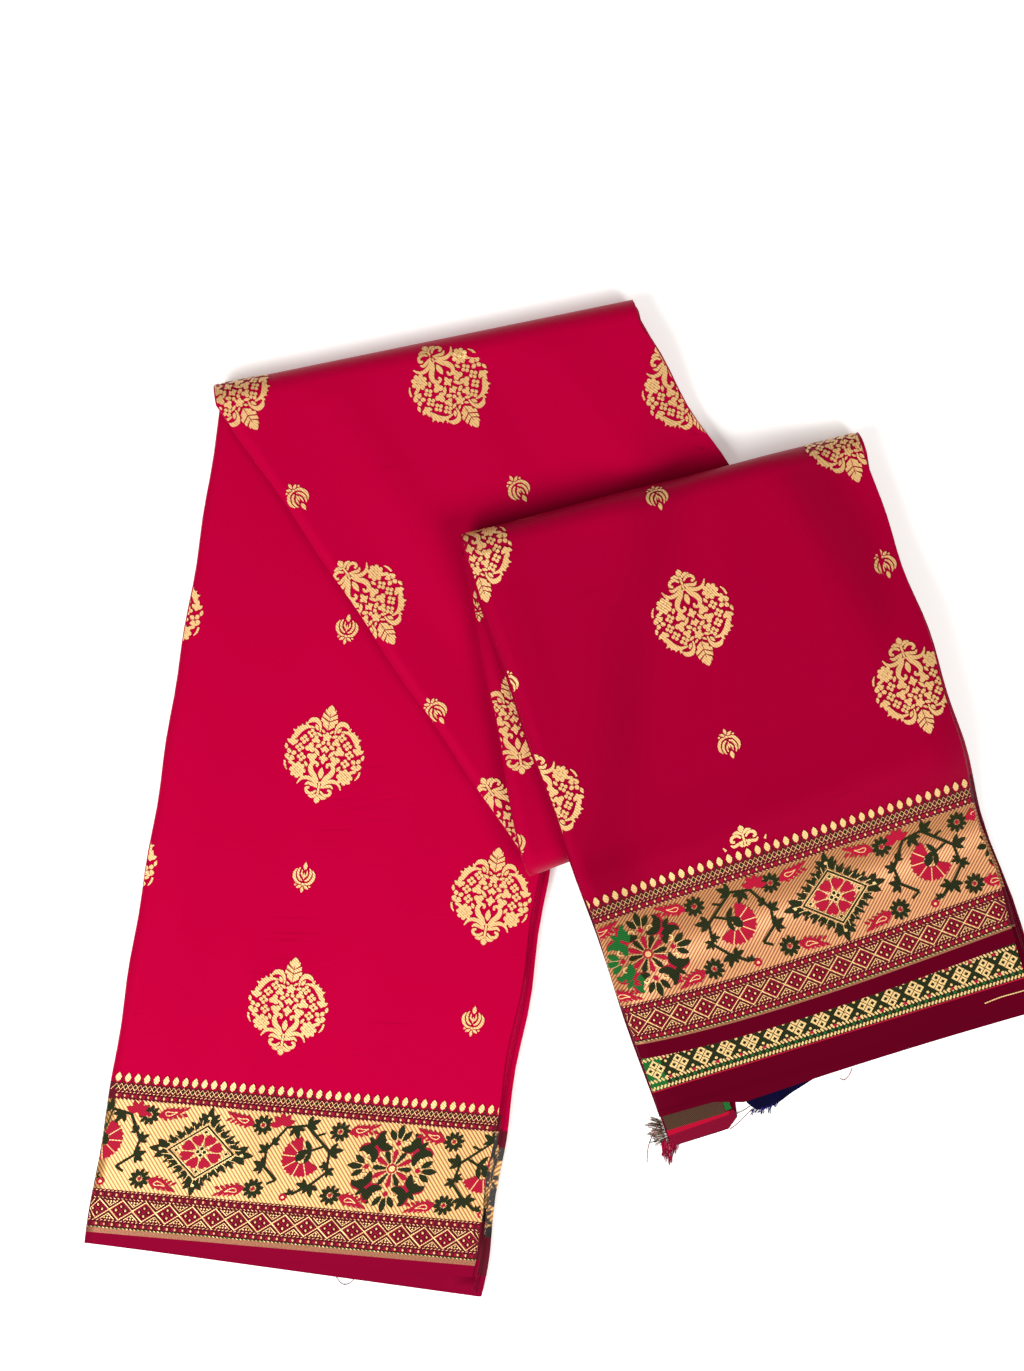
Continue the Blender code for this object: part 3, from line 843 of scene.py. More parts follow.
def big_bouquet():
    """The big figure: a feathered tip, a round body of flowers, leaves and grapes, and a scrolled foot."""
    half = []
    for row, (wide, low) in enumerate(((2.9, 12.0), (4.1, 14.0), (3.6, 16.3), (2.6, 18.4))):
        half.append([(0.15, low), (wide, low + 2.0), (wide * 0.94, low + 3.7), (0.15, low + 1.75)])
    half += swell(smooth([(3.6, 10.6), (3.9, 13.4), (5.8, 15.8), (8.4, 15.6), (10.0, 13.9)]),
                  (0.6, 1.2, 2.4, 2.2, 0.4))
    half.append(leaf(4.6, 11.2, 3.2, 1.7, 58.0))
    half += swell(smooth([(6.6, 12.2), (9.6, 12.2), (12.6, 10.8), (14.4, 8.2), (14.8, 5.8)]),
                  (0.7, 1.4, 2.8, 2.7, 0.8))
    for notch in range(4):
        half.append(leaf(9.6 + 1.45 * notch, 12.0 - 1.1 * notch, 2.9, 1.3, 62.0 - 12 * notch))
    for heading, length in ((30.0, 3.4), (82.0, 4.4), (140.0, 3.0)):
        half.append(leaf(15.6, 3.2, length, 2.1, heading))
    half += swell([(14.0, 3.9), (15.6, 3.0), (17.3, 3.8)], (0.7, 1.9, 0.7))
    half.append(leaf(18.2, 0.0, 3.0, 1.6, 78.0))
    half += round_petals(15.9, -2.1, 1.75, 4, 1.25, 1.05, 60.0)
    half += swell([(13.7, -3.9), (15.8, -4.7), (18.0, -3.8)], (0.8, 1.6, 0.8))
    half.append(leaf(13.2, -6.3, 3.5, 1.6, 10.0))
    half += swell(smooth([(18.2, -5.4), (17.8, -7.6), (16.5, -9.6)], 2), (0.9, 1.0, 0.4))
    half += round_petals(11.4, -9.0, 2.6, 8, 1.4, 1.16, 0.0)
    half += round_petals(11.4, -9.0, 0.7, 4, 0.95, 0.72, 45.0)
    for x, y in ((7.3, 9.4), (10.4, 6.0), (12.0, 1.8), (10.6, -2.6)):
        half += round_petals(x, y, 1.3, 4, 0.92, 0.92, 0.0)
    half += round_petals(4.9, 6.6, 1.05, 3, 1.15, 1.05, 90.0)
    half += [leaf(2.3, 8.7, 3.2, 1.5, 25.0), leaf(1.0, 10.4, 2.6, 1.1, 40.0)]
    half += [oval(1.25, 5.7, 0.95, 0.95), oval(3.2, 4.0, 1.5, 0.95, 150.0)]
    half += round_petals(7.0, 2.5, 1.15, 3, 1.45, 1.3, 100.0)
    half += round_petals(5.5, -2.0, 1.15, 3, 1.45, 1.35, 20.0)
    half.append(leaf(2.2, -0.8, 4.6, 1.7, 52.0))
    half.append(leaf(7.2, -6.8, 3.0, 1.6, 62.0))
    half += swell(smooth([(0.7, -13.6), (2.4, -11.2), (4.6, -8.9), (5.5, -6.2), (4.2, -4.2), (2.3, -4.5),
                          (2.6, -6.0)]),
                  (0.7, 2.1, 2.6, 2.1, 1.6, 1.3, 1.0))
    half += swell(smooth([(0.9, -16.0), (2.3, -13.4), (5.6, -11.9), (8.8, -12.6), (10.6, -15.4)]),
                  (0.6, 1.6, 1.9, 1.5, 0.4))
    half += swell(smooth([(1.1, -17.4), (2.9, -19.0), (5.2, -18.7), (5.9, -16.9), (4.4, -16.3)]),
                  (0.8, 1.4, 1.5, 1.4, 1.1))
    half += swell(smooth([(1.5, -15.6), (3.6, -14.7), (5.4, -14.3), (6.7, -15.4)]), (0.7, 1.5, 1.5, 0.5))
    half += swell(smooth([(0.6, -19.2), (2.4, -20.5), (4.4, -20.2)]), (0.9, 1.6, 0.5))
    middle = round_petals(0.0, 8.6, 1.3, 5, 1.05, 0.85, 90.0)
    middle += [oval(0.0, 8.6, 0.9, 0.9), [(0.0, 4.7), (-1.1, 3.4), (-2.3, 3.0), (-0.9, 0.9), (0.0, 2.0)]]
    middle += [[(0.0, 4.7), (0.0, 2.0), (0.9, 0.9), (2.3, 3.0), (1.1, 3.4)]]
    middle.append(leaf(0.0, 19.9, 4.2, 3.6, 90.0))
    middle += [leaf(0.0, -4.6, 5.4, 2.3, 90.0), oval(0.0, -1.7, 2.3, 1.1, 0.0)]
    middle += [leaf(0.0, -11.6, 5.6, 2.7, 90.0), leaf(0.0, -23.4, 3.7, 3.0, 90.0)]
    middle += stem([(0.0, -13.0), (0.0, -19.6)], 0.9, 1.1)
    return mirrored(half) + middle


def small_bud():
    """The small figure: a bud that opens between curled petals."""
    half = swell(smooth([(0.7, -3.8), (3.0, -3.2), (4.5, -1.0), (4.7, 1.2), (3.7, 3.2)]),
                 (0.6, 1.3, 1.5, 1.2, 0.3))
    half += swell(smooth([(0.6, -2.3), (1.9, -1.6), (2.9, 0.3), (2.9, 2.4), (2.2, 3.9)]),
                  (0.5, 1.0, 1.1, 1.0, 0.3))
    half += swell([(0.6, -0.4), (1.3, 1.0), (1.2, 2.9)], (0.5, 0.9, 0.3))
    half += [leaf(0.5, -4.6, 2.8, 1.4, -30.0), oval(3.4, -4.6, 0.6, 0.5, 0.0, 6)]
    middle = [leaf(0.0, 2.9, 3.8, 2.0, 90.0), leaf(0.0, -1.6, 3.2, 1.0, 90.0),
              leaf(0.0, -8.0, 3.0, 1.5, 90.0)]
    return mirrored(half) + middle + [oval(0.0, -4.0, 0.7, 0.6)]


def weave_figure(weaver, span, middle, shapes, upward):
    """Weave a figure's shapes about a middle, turned to face upward."""
    rightward = Vector((upward.y, -upward.x))
    for corners in shapes:
        weaver.weave(span, [middle + rightward * x + upward * y for x, y in corners])


PIXEL = 0.482                             # millimetres on the floor to a pixel of the photograph
VIEW_HEIGHT = 1200.0                      # the camera above the floor
PICTURE_MIDDLE = (512.0, 685.5)
HEIGHT_ROUNDS = 4
SEEN_ROUND_FOLD = 0.95                    # sine of the furthest angle round a fold that the camera sees


def seen_at(across, down, span):
    """The place on a span laid out flat that the camera sees at a pixel."""
    height = STACK
    plan = None
    # each round uses the height of the cloth that the round before it found
    for settling in range(HEIGHT_ROUNDS):
        nearer = (1 - height / VIEW_HEIGHT) * PIXEL
        plan = Vector(((across - PICTURE_MIDDLE[0]) * nearer, (PICTURE_MIDDLE[1] - down) * nearer))
        if span > 0:
            beyond = (plan - AXES[span - 1][0]).dot(outward(span - 1))
            if beyond > 0:
                angle = math.asin(min(SEEN_ROUND_FOLD, beyond / OUTER_RADIUS))
                plan = plan + outward(span - 1) * (OUTER_RADIUS * angle - beyond)
        height = on_cloth(span, plan, 0.0).z
    return plan


# Where the figures' middles stand in the photograph, in pixels
BIG_PLACES = (
    # span, across, down
    (0, 324, 755), (0, 288, 1007), (0, 491, 897), (0, 163, 610), (0, 117, 860),
    (1, 450, 385), (1, 230, 389), (1, 682, 390), (1, 366, 602), (1, 509, 819),
    (2, 515, 725),
    (3, 693, 617), (3, 914, 685), (3, 842, 439), (3, 471, 553), (3, 543, 800),
)
SMALL_PLACES = (
    # span, across, down
    (0, 347, 628), (0, 304, 876), (0, 473, 1020),
    (1, 298, 498), (1, 519, 490), (1, 436, 712),
    (2, 477, 605), (2, 514, 843),
    (3, 657, 497), (3, 885, 565), (3, 729, 745), (3, 507, 685),
)
CUT_OFF_PLACE = (3, 753, 871)             # one figure stops at the border, so that only its foot is woven
CUT_OFF_BELOW = -12.3                     # the part of that figure that is woven, from its middle


def travel_in(span):
    """The level direction in which a span of the band runs, along its middle."""
    near, far = SPANS[span]
    return (along(far, 0.5) - along(near, 0.5)).normalized()


FLOAT_SCALE = 420.0                       # the floats' ribs, to the metre


def gold_thread_material(name, shade, bright, roughness):
    """Flattened gold thread in close floats: thin shade lines part the threads, and it glints."""
    material, shader = new_material(name)
    where = node(material, "ShaderNodeTexCoord")
    floats = node(material, "ShaderNodeTexWave",
                  {"wave_type": "BANDS", "bands_direction": "DIAGONAL", "Scale": FLOAT_SCALE,
                   "Distortion": 1.2, "Detail": 2.0}, {"Vector": where.outputs["Object"]})
    grain = node(material, "ShaderNodeTexNoise", {"Scale": 900.0, "Detail": 3.0},
                 {"Vector": where.outputs["Object"]})
    both = node(material, "ShaderNodeMath", {"operation": "ADD"},
                {0: floats.outputs["Fac"], 1: grain.outputs["Fac"]})
    ramp = node(material, "ShaderNodeValToRGB", {}, {"Fac": both.outputs["Value"]})
    ramp.color_ramp.elements[0].position = 0.35
    ramp.color_ramp.elements[0].color = linear(shade)
    ramp.color_ramp.elements[1].position = 0.8
    ramp.color_ramp.elements[1].color = linear(bright)
    material.node_tree.links.new(ramp.outputs["Color"], shader.inputs["Base Color"])
    bump = node(material, "ShaderNodeBump", {"Strength": 0.35, "Distance": 0.0002},
                {"Height": floats.outputs["Fac"]})
    material.node_tree.links.new(bump.outputs["Normal"], shader.inputs["Normal"])
    shader.inputs["Roughness"].default_value = roughness
    shader.inputs["Metallic"].default_value = 0.25
    return material


# Pale gold with thin brown lines between its threads, brighter than the silk about it
field_gold = gold_thread_material("gold_zari_extra_weft", "#AE7238", "#DDB074", 0.42)
bouquets = Weaver(FIGURE_LIFT)
for places, shapes in ((BIG_PLACES, big_bouquet()), (SMALL_PLACES, small_bud())):
    for span, across, down in places:
        weave_figure(bouquets, span, seen_at(across, down, span), shapes, travel_in(span))
span, across, down = CUT_OFF_PLACE
foot = [corners for corners in big_bouquet() if max(y for x, y in corners) < CUT_OFF_BELOW]
weave_figure(bouquets, span, seen_at(across, down, span), foot, travel_in(span))
bouquets.finish("woven_bouquets", field_gold, "crimson_silk")

# The woven borders of the two arms
# Both selvedges carry the same border, which the right arm shows in mirror image. From the selvedge in:
# a copper line, beads, a lattice, beads, a broad gold twill band with figures, beads, a chain and drops.

# Distances in from the selvedge, and the steps in which each row repeats
GREEN_LINE = 8.5
DASH_PITCH = 1.6
DASH_LENGTH = 1.1
BEAD_ROWS = (10.2, 24.5, 72.3)
BEAD_PITCH = 3.8
BEAD_GROUND = (0.95, 0.85)                # half the length and width of the crimson spot under a bead
LATTICE_MIDDLE = 17.3
LATTICE_RISE = 4.7
LATTICE_PITCH = 11.2
LATTICE_LEAD = 0.3                        # share of a diamond before the middle of the first
TWILL_MIDDLE = 48.5
CHAIN_MIDDLE = 76.4
CHAIN_RISE = 1.5
CHAIN_LINE = 0.27
DROP_FOOT = 78.7
DROP_LENGTH = 4.6
DROP_WIDTH = 2.9
DROP_PITCH = 4.6
THIN_LINE = 0.3
# The woven figures lean over where the cloth is pulled askew
LEAN = {LEFT_ARM: 5.6, RIGHT_ARM: 0.0}
ARM_FACE = {LEFT_ARM: LAYERS - 1, RIGHT_ARM: 0}


def border_place(arm, across, depth):
    """The place on an arm at a distance from its left edge and a depth in from its selvedge."""
    share = across / BAND_WIDTH
    length = (along(SPANS[arm][0], share) - along(SPANS[arm][1], share)).length
    distance = depth if arm == LEFT_ARM else length - depth
    return plan_at(arm, share, distance, ARM_FACE[arm])


def weave_border(weaver, arm, shapes, across=0.0, depth=0.0, flip=1):
    """Weave shapes in an arm's border about a middle, as they are or in mirror image."""
    slant = math.tan(math.radians(LEAN[arm]))
    for corners in shapes:
        plans = [border_place(arm, across + flip * x + slant * y, depth + y) for x, y in corners]
        weaver.weave(arm, plans)


def daisy():
    """Dark petals round a red eye."""
    return {"dark": round_petals(0.0, 0.0, 3.2, 10, 1.9, 0.95, 9.0), "red": [oval(0.0, 0.0, 0.9, 0.9)]}


def paisley():
    """A red feather that springs from a daisy and bends to its tip."""
    body = swell(smooth([(4.6, -0.4), (7.0, 0.9), (10.0, 1.6), (13.0, 2.4), (16.0, 3.6)]),
                 (1.0, 4.4, 4.6, 2.6, 0.4))
    teeth = [leaf(6.6 + 2.2 * number, 1.4 + 0.5 * number, 3.6, 1.3, 62.0 - 8 * number) for number in range(5)]
    teeth += [leaf(6.6 + 2.2 * number, -0.1 + 0.5 * number, 3.2, 1.3, -42.0 + 4 * number)
              for number in range(5)]
    line = stem(smooth([(8.6, 0.4), (7.4, 1.6), (8.4, 2.4), (10.8, 2.2), (13.0, 2.6)]), 0.4)
    line += stem(smooth([(8.6, 0.4), (10.6, 0.9), (13.0, 2.6)]), 0.4)
    return {"red": body + teeth, "light": line}


def leaf_tuft(x, y, heading, size=1.0):
    """Three dark leaves from one knot."""
    return [leaf(x, y, 5.8 * size, 2.4 * size, heading), leaf(x, y, 4.7 * size, 2.1 * size, heading + 46.0),
            leaf(x, y, 4.7 * size, 2.1 * size, heading - 46.0)]


def around(shapes, degrees):
    """Shapes turned about the figure's middle."""
    turned = math.radians(degrees)
    return [[(x * math.cos(turned) - y * math.sin(turned), x * math.sin(turned) + y * math.cos(turned))
             for x, y in corners] for corners in shapes]


def vine():
    """An angular stem that hooks round a carnation, with a bud at its foot and a flower at its head."""
    dark = stem([(-7.4, -10.4), (-14.6, -4.4), (-15.6, 3.4), (-8.5, 15.2), (0.8, 16.9), (14.4, 5.4),
                 (15.4, -4.8), (9.6, -11.0), (1.6, -16.6)], 1.35)
    dark += stem([(-7.4, -10.4), (-11.4, -12.6)], 1.1)
    dark += stem([(6.4, 12.4), (10.4, 14.0)], 1.0) + stem([(12.0, 8.0), (8.4, 6.4), (5.6, 5.0)], 1.1)
    tufts = (
        (-15.2, 3.4, 150.0, 0.9), (-14.8, -4.2, 160.0, 1.0), (-13.4, 7.0, 40.0, 0.7), (-4.6, 15.8, -62.0,
                                                                                       1.1),
        (1.2, 17.0, 30.0, 1.1), (14.6, 5.4, 12.0, 1.15), (15.4, -3.6, -30.0, 0.8), (15.0, -1.6, 190.0, 0.7),
        (9.0, -11.4, -72.0, 1.1), (7.6, -12.2, 168.0, 0.9), (-15.4, -4.8, 208.0, 0.8),
        (1.2, -16.8, 120.0, 0.6),
    )
    for x, y, heading, size in tufts:
        dark += leaf_tuft(x, y, heading, size)
    dark += [leaf(5.8, 4.6, 6.6, 2.6, heading) for heading in (126.0, 188.0, 252.0)]
    dark += [oval(1.0, 1.6, 2.7, 1.9, 30.0)]
    red = []
    eye_x = 2.4
    eye_y = 1.9
    spread = 38.0                         # degrees from petal to petal
    petal = [[(3.4, -1.1), (8.6, -3.0), (9.9, -2.3), (9.2, -1.2), (10.3, 0.0), (9.2, 1.2), (9.9, 2.3),
              (8.6, 3.0), (3.4, 1.1)]]
    for number in range(6):
        turned = around(petal, 122.0 + spread * number)
        red += [[(x + eye_x, y + eye_y) for x, y in corners] for corners in turned]
    red += [leaf(-11.0, 16.2, 6.2, 3.0, heading) for heading in (22.0, 62.0, 102.0, 142.0, 182.0)]
    red += [oval(-2.0, -18.2, 2.0, 1.9)]
    light = [oval(-2.0, -18.2, 0.8, 0.7)]
    for gap in range(5):
        heading = math.radians(141.0 + spread * gap)
        light += stem([(eye_x + 3.6 * math.cos(heading), eye_y + 3.6 * math.sin(heading)),
                       (eye_x + 9.6 * math.cos(heading), eye_y + 9.6 * math.sin(heading))], 0.42)
    return {"dark": dark, "red": red, "light": light}


def both_hands(shapes):
    """Shapes and their mirror image about the line that points right."""
    return shapes + [[(x, -y) for x, y in corners] for corners in shapes]


def rosette():
    """A round flower of red and dark petals, with four palmettes and four small tufts about it."""
    dark = []
    red = []
    light = []
    wedge = [[(2.9, -0.35), (7.8, -1.25), (9.2, -0.5), (9.2, 0.5), (7.8, 1.25), (2.9, 0.35)]]
    for petal in range(12):
        colour = red if petal % 2 else dark
        colour += around(wedge, 30.0 * petal)
        light += around(stem([(2.8, 0.0), (9.4, 0.0)], 0.26), 30.0 * petal + 15.0)
    red += [oval(0.0, 0.0, 2.3, 2.3, 0.0, 12)]
    light += [oval(0.0, 0.0, 1.5, 1.5, 0.0, 10)]
    palmette_dark = [leaf(14.2, 0.0, 7.4, 3.4, 0.0), leaf(13.6, 1.6, 6.2, 3.0, 34.0),
                     leaf(13.6, -1.6, 6.2, 3.0, -34.0)]
    palmette_red = [oval(12.4, 0.0, 1.3, 1.3)]
    scroll = smooth([(9.8, 2.2), (10.0, 5.8), (12.6, 8.2), (15.8, 8.6), (17.6, 7.0)])
    scroll_dark = swell(scroll, (1.2, 3.9, 4.6, 2.8, 0.5))
    scroll_red = swell([(x - 0.15, y + 0.75) for x, y in scroll], (1.5, 4.6, 5.2, 3.3, 1.1))
    curl = swell(smooth([(11.2, 3.2), (13.0, 3.6), (13.4, 5.2), (12.2, 5.8)]), (0.5, 0.8, 0.8, 0.5))
    vein = stem([(13.0, 0.9), (18.6, 1.9)], 0.26) + stem([(13.0, -0.9), (18.6, -1.9)], 0.26)
    outline = []
    for turn in range(4):
        degrees = 90.0 * turn
        dark += around(palmette_dark + both_hands(scroll_dark), degrees)
        red += around(palmette_red, degrees)
        light += around(both_hands(curl), degrees)
        light += around(vein, degrees)
        dark += around(leaf_tuft(14.6, 0.0, 0.0, 0.95), degrees + 45.0)
        outline += around(both_hands(scroll_red), degrees)
    return {"outline": outline, "dark": dark, "red": red, "light": light}


def medallion():
    """A diamond that frames eight hearts, fringed with dark leaves."""
    wide = 15.5
    high = 12.6
    tips = [(wide, 0.0), (0.0, high), (-wide, 0.0), (0.0, -high)]
    rim = tips[3:] + tips + tips[:1]
    dark = stem(rim, 0.9)
    light = stem([(x * 0.93, y * 0.93) for x, y in rim], 0.5)
    light += stem([(x * 1.07, y * 1.07) for x, y in rim], 0.4)
    red = []
    heart = [[(2.9, 0.0), (6.4, -2.5), (8.6, -2.5), (9.4, -1.2), (8.6, 0.0), (9.4, 1.2), (8.6, 2.5),
              (6.4, 2.5)]]
    spoke = stem([(2.6, 0.0), (9.8, 0.0)], 0.28)
    for number in range(8):
        degrees = 22.5 + 45.0 * number
        red += [[(x * 1.08, y * 0.9) for x, y in corners] for corners in around(heart, degrees)]
        light += [[(x * 1.08, y * 0.9) for x, y in corners] for corners in around(spoke, degrees + 22.5)]
    light += round_petals(0.0, 0.0, 1.6, 4, 1.35, 1.35, 0.0)
    dark_top = round_petals(0.0, 0.0, 1.6, 4, 0.9, 0.9, 0.0)
    for x, y in ((12.0, 0.0), (-12.0, 0.0), (0.0, 9.7), (0.0, -9.7)):
        light.append(oval(x, y, 1.55, 1.3, 0.0, 4))
        dark_top.append(oval(x, y, 1.0, 0.85, 0.0, 4))
    for (x1, y1), (x2, y2) in zip(tips, tips[1:] + tips[:1]):
        run = Vector((x2 - x1, y2 - y1))
        aside = 1.4 * run.normalized()
        out = math.degrees(math.atan2(y1 + y2, x1 + x2))
        for place in range(6):
            share = (place + 0.5) / 6
            x = x1 + run.x * share
            y = y1 + run.y * share
            for heading, length in ((out, 5.2), (out + 42.0, 3.6), (out - 42.0, 3.6)):
                dark.append(leaf(x * 1.13, y * 1.13, length, 1.7, heading))
            light += stem([(x * 1.1 + aside.x, y * 1.1 + aside.y), (x * 1.38 + aside.x, y * 1.38 + aside.y)],
                          0.3)
    for x, y, heading in ((wide, 0.0, 0.0), (-wide, 0.0, 180.0), (0.0, high, 90.0), (0.0, -high, 270.0)):
        dark += leaf_tuft(x * 1.12, y * 1.12, heading, 1.35)
        light.append(oval(x * 1.26, y * 1.3, 0.9, 0.8, 0.0, 6))
    return {"dark": dark, "red": red, "light": light, "dark top": dark_top}


def lattice_cell():
    """One diamond of the lattice, quartered in red, and half the gold triangle above and below."""
    half = LATTICE_PITCH / 2
    rise = LATTICE_RISE
    rim = [(-half, 0.0), (0.0, rise), (half, 0.0), (0.0, -rise), (-half, 0.0)]
    red = stem([(x * 0.8, y * 0.8) for x, y in rim], 0.6)
    for side in (-1, 1):
        red += stem([(-half * 0.4, -side * rise * 0.4), (half * 0.4, side * rise * 0.4)], 0.6)
    light = stem(rim, 0.62)
    for side in (-1, 1):
        light += stem([(half * 0.42, side * rise * 0.98), (half, side * rise * 0.4),
                       (half * 1.58, side * rise * 0.98)], 0.4)
        light += [oval(half * place, side * rise * 0.86, 0.42, 0.38, 0.0, 6) for place in (0.76, 1.0, 1.24)]
        light.append(oval(half, side * rise * 0.64, 0.42, 0.38, 0.0, 6))
    return {"crimson": red, "light": light}


# Each colour floats a little above the ones that it crosses
LEAF_LIFT = FIGURE_LIFT + 0.05
INLAY_LIFT = 0.36
OUTLINE_LIFT = INLAY_LIFT + 0.06
EYE_LIFT = 0.5
FIGURE_COLOURS = {
    # part of a figure: the floats that it is woven with
    "outline": "red", "dark": "dark", "red": "red top", "crimson": "crimson", "light": "light",
    "dark top": "dark top",
}
BRIGHT_GREEN_WITHIN = 15.0                # the dark green turns bright near the right arm's left edge
floats = {
    "crimson": Weaver(INLAY_LIFT), "bright": Weaver(LEAF_LIFT), "red": Weaver(FIGURE_LIFT),
    "dark": Weaver(LEAF_LIFT), "red top": Weaver(INLAY_LIFT), "light": Weaver(OUTLINE_LIFT),
    "dark top": Weaver(EYE_LIFT), "green": Weaver(INLAY_LIFT),
}


def set_figure(arm, figure, across, depth, flip=1):
    """Weave every colour of a figure."""
    for colour, shapes in figure.items():
        if colour == "dark" and arm == RIGHT_ARM:
            near = [corners for corners in shapes if across + flip * corners[0][0] < BRIGHT_GREEN_WITHIN]
            weave_border(floats["bright"], arm, near, across, depth, flip)
            shapes = [corners for corners in shapes if corners not in near]
        weave_border(floats[FIGURE_COLOURS[colour]], arm, shapes, across, depth, flip)


# Along each arm a rosette and a medallion stand by turns, every half repeat, with four daisies round
# each and a vine between, which faces to either side by turns
HALF_REPEAT = 92.0
FIRST_FIGURE = {LEFT_ARM: -43.7, RIGHT_ARM: 19.7}    # the middle of the first, from the left edge
DAISY_ASIDE = 27.4
DAISY_UP = 15.4
FIGURES = (rosette(), medallion())
VINE = vine()
for arm, first in FIRST_FIGURE.items():
    for place in range(-1, 4):
        middle = first + HALF_REPEAT * place
        set_figure(arm, FIGURES[place % 2], middle, TWILL_MIDDLE)
        hand = -1 if place % 2 == 0 else 1
        set_figure(arm, VINE, middle + HALF_REPEAT / 2, TWILL_MIDDLE, hand)
        for side in (-1, 1):
            for level in (-1, 1):
                x = middle + side * DAISY_ASIDE
                y = TWILL_MIDDLE + level * DAISY_UP
                set_figure(arm, daisy(), x, y)
                feather = {colour: [[(px, level * py) for px, py in corners] for corners in shapes]
                           for colour, shapes in paisley().items()}
                set_figure(arm, feather, x, y, -side)

# The rows that run along each border
ground_long, ground_wide = BEAD_GROUND
for arm in (LEFT_ARM, RIGHT_ARM):
    for cell in range(-1, int(BAND_WIDTH / LATTICE_PITCH) + 2):
        set_figure(arm, lattice_cell(), (cell + LATTICE_LEAD) * LATTICE_PITCH, LATTICE_MIDDLE)
    for row in BEAD_ROWS:
        for step in range(-1, int(BAND_WIDTH / BEAD_PITCH) + 2):
            x = (step + 0.5) * BEAD_PITCH
            weave_border(floats["crimson"], arm, [[(x - ground_long, row - ground_wide),
                                                   (x + ground_long, row - ground_wide),
                                                   (x + ground_long, row + ground_wide),
                                                   (x - ground_long, row + ground_wide)]])
            for side in (-1, 1):
                for part in (0.25, 0.75):
                    along_row = (step + part) * BEAD_PITCH
                    tick = stem([(along_row - 0.45, row + side * 1.5), (along_row + 0.45, row + side * 2.0)],
                                THIN_LINE)
                    weave_border(floats["light"], arm, tick)
    for step in range(-1, int(BAND_WIDTH / DROP_PITCH) + 2):
        x = step * DROP_PITCH
        drop = [leaf(x, DROP_FOOT, DROP_LENGTH, DROP_WIDTH, 90.0)]
        arch = []
        for side in (-1, 1):
            arch += stem([(x + side * DROP_PITCH / 2, DROP_FOOT - 0.9), (x + side * 1.5, DROP_FOOT + 1.4),
                          (x + side * 0.9, DROP_FOOT + 3.6)], THIN_LINE)
        chain = []
        for top in (x, x + DROP_PITCH / 2):
            chain += stem([(top - DROP_PITCH / 2, CHAIN_MIDDLE - CHAIN_RISE),
                           (top, CHAIN_MIDDLE + CHAIN_RISE),
                           (top + DROP_PITCH / 2, CHAIN_MIDDLE - CHAIN_RISE)], CHAIN_LINE)
        knots = [oval(x, CHAIN_MIDDLE, 0.8, 0.6, 0.0, 6)]
        weave_border(floats["light"], arm, drop + chain)
        weave_border(floats["dark"], arm, arch + knots)
    for step in range(int(BAND_WIDTH / DASH_PITCH) + 2):
        x = step * DASH_PITCH
        dash = stem([(x, GREEN_LINE - 0.25), (x + DASH_LENGTH, GREEN_LINE + 0.25)], 0.5)
        weave_border(floats["green"], arm, dash)


def inlay_material(name, deep, lit):
    """Dyed silk floats of the inlay: fine slanting ribs over one colour."""
    material, shader = new_material(name)
    where = node(material, "ShaderNodeTexCoord")
    ribs = node(material, "ShaderNodeTexWave",
                {"wave_type": "BANDS", "bands_direction": "DIAGONAL", "Scale": FLOAT_SCALE,
                 "Distortion": 0.8, "Detail": 2.0}, {"Vector": where.outputs["Object"]})
    ramp = node(material, "ShaderNodeValToRGB", {}, {"Fac": ribs.outputs["Fac"]})
    ramp.color_ramp.elements[0].position = 0.2
    ramp.color_ramp.elements[0].color = linear(deep)
    ramp.color_ramp.elements[1].position = 0.8
    ramp.color_ramp.elements[1].color = linear(lit)
    material.node_tree.links.new(ramp.outputs["Color"], shader.inputs["Base Color"])
    bump = node(material, "ShaderNodeBump", {"Strength": 0.3, "Distance": 0.0002},
                {"Height": ribs.outputs["Fac"]})
    material.node_tree.links.new(bump.outputs["Normal"], shader.inputs["Normal"])
    shader.inputs["Roughness"].default_value = 0.55
    shader.inputs["Specular IOR Level"].default_value = 0.05
    return material


# Nearly black green, which draws the leaves and stems sharply on the gold
dark_inlay = inlay_material("dark_green_silk_inlay", "#16180A", "#262E14")
# Clear red for petals, the liveliest colour of the border
red_inlay = inlay_material("red_silk_inlay", "#8C0826", "#B01634")
# Duller crimson for the net and the beads' ground, which sinks behind the gold
crimson_inlay = inlay_material("deep_crimson_silk_inlay", "#74061F", "#980E2E")
# Bright green for the green line, the second border's knots and the tape's end, and where the dark
# green turns bright near the right arm's left edge
green_inlay = inlay_material("bright_green_silk_inlay", "#124A20", "#1E6A2C")
# Pale gold for outlines, drops and beads, lighter than the twill that they lie on
light_gold = gold_thread_material("pale_gold_thread_outline", "#AA7838", "#E2BC7C", 0.4)
floats["red"].finish("red_outlines", red_inlay, "crimson_silk")
floats["dark"].finish("dark_leaves", dark_inlay, "crimson_silk")
floats["bright"].finish("bright_leaves", green_inlay, "crimson_silk")
floats["crimson"].finish("crimson_net", crimson_inlay, "crimson_silk")
floats["red top"].finish("red_petals", red_inlay, "crimson_silk")
floats["light"].finish("gold_outlines", light_gold, "crimson_silk")
floats["dark top"].finish("dark_eyes", dark_inlay, "crimson_silk")
floats["green"].finish("green_line", green_inlay, "crimson_silk")


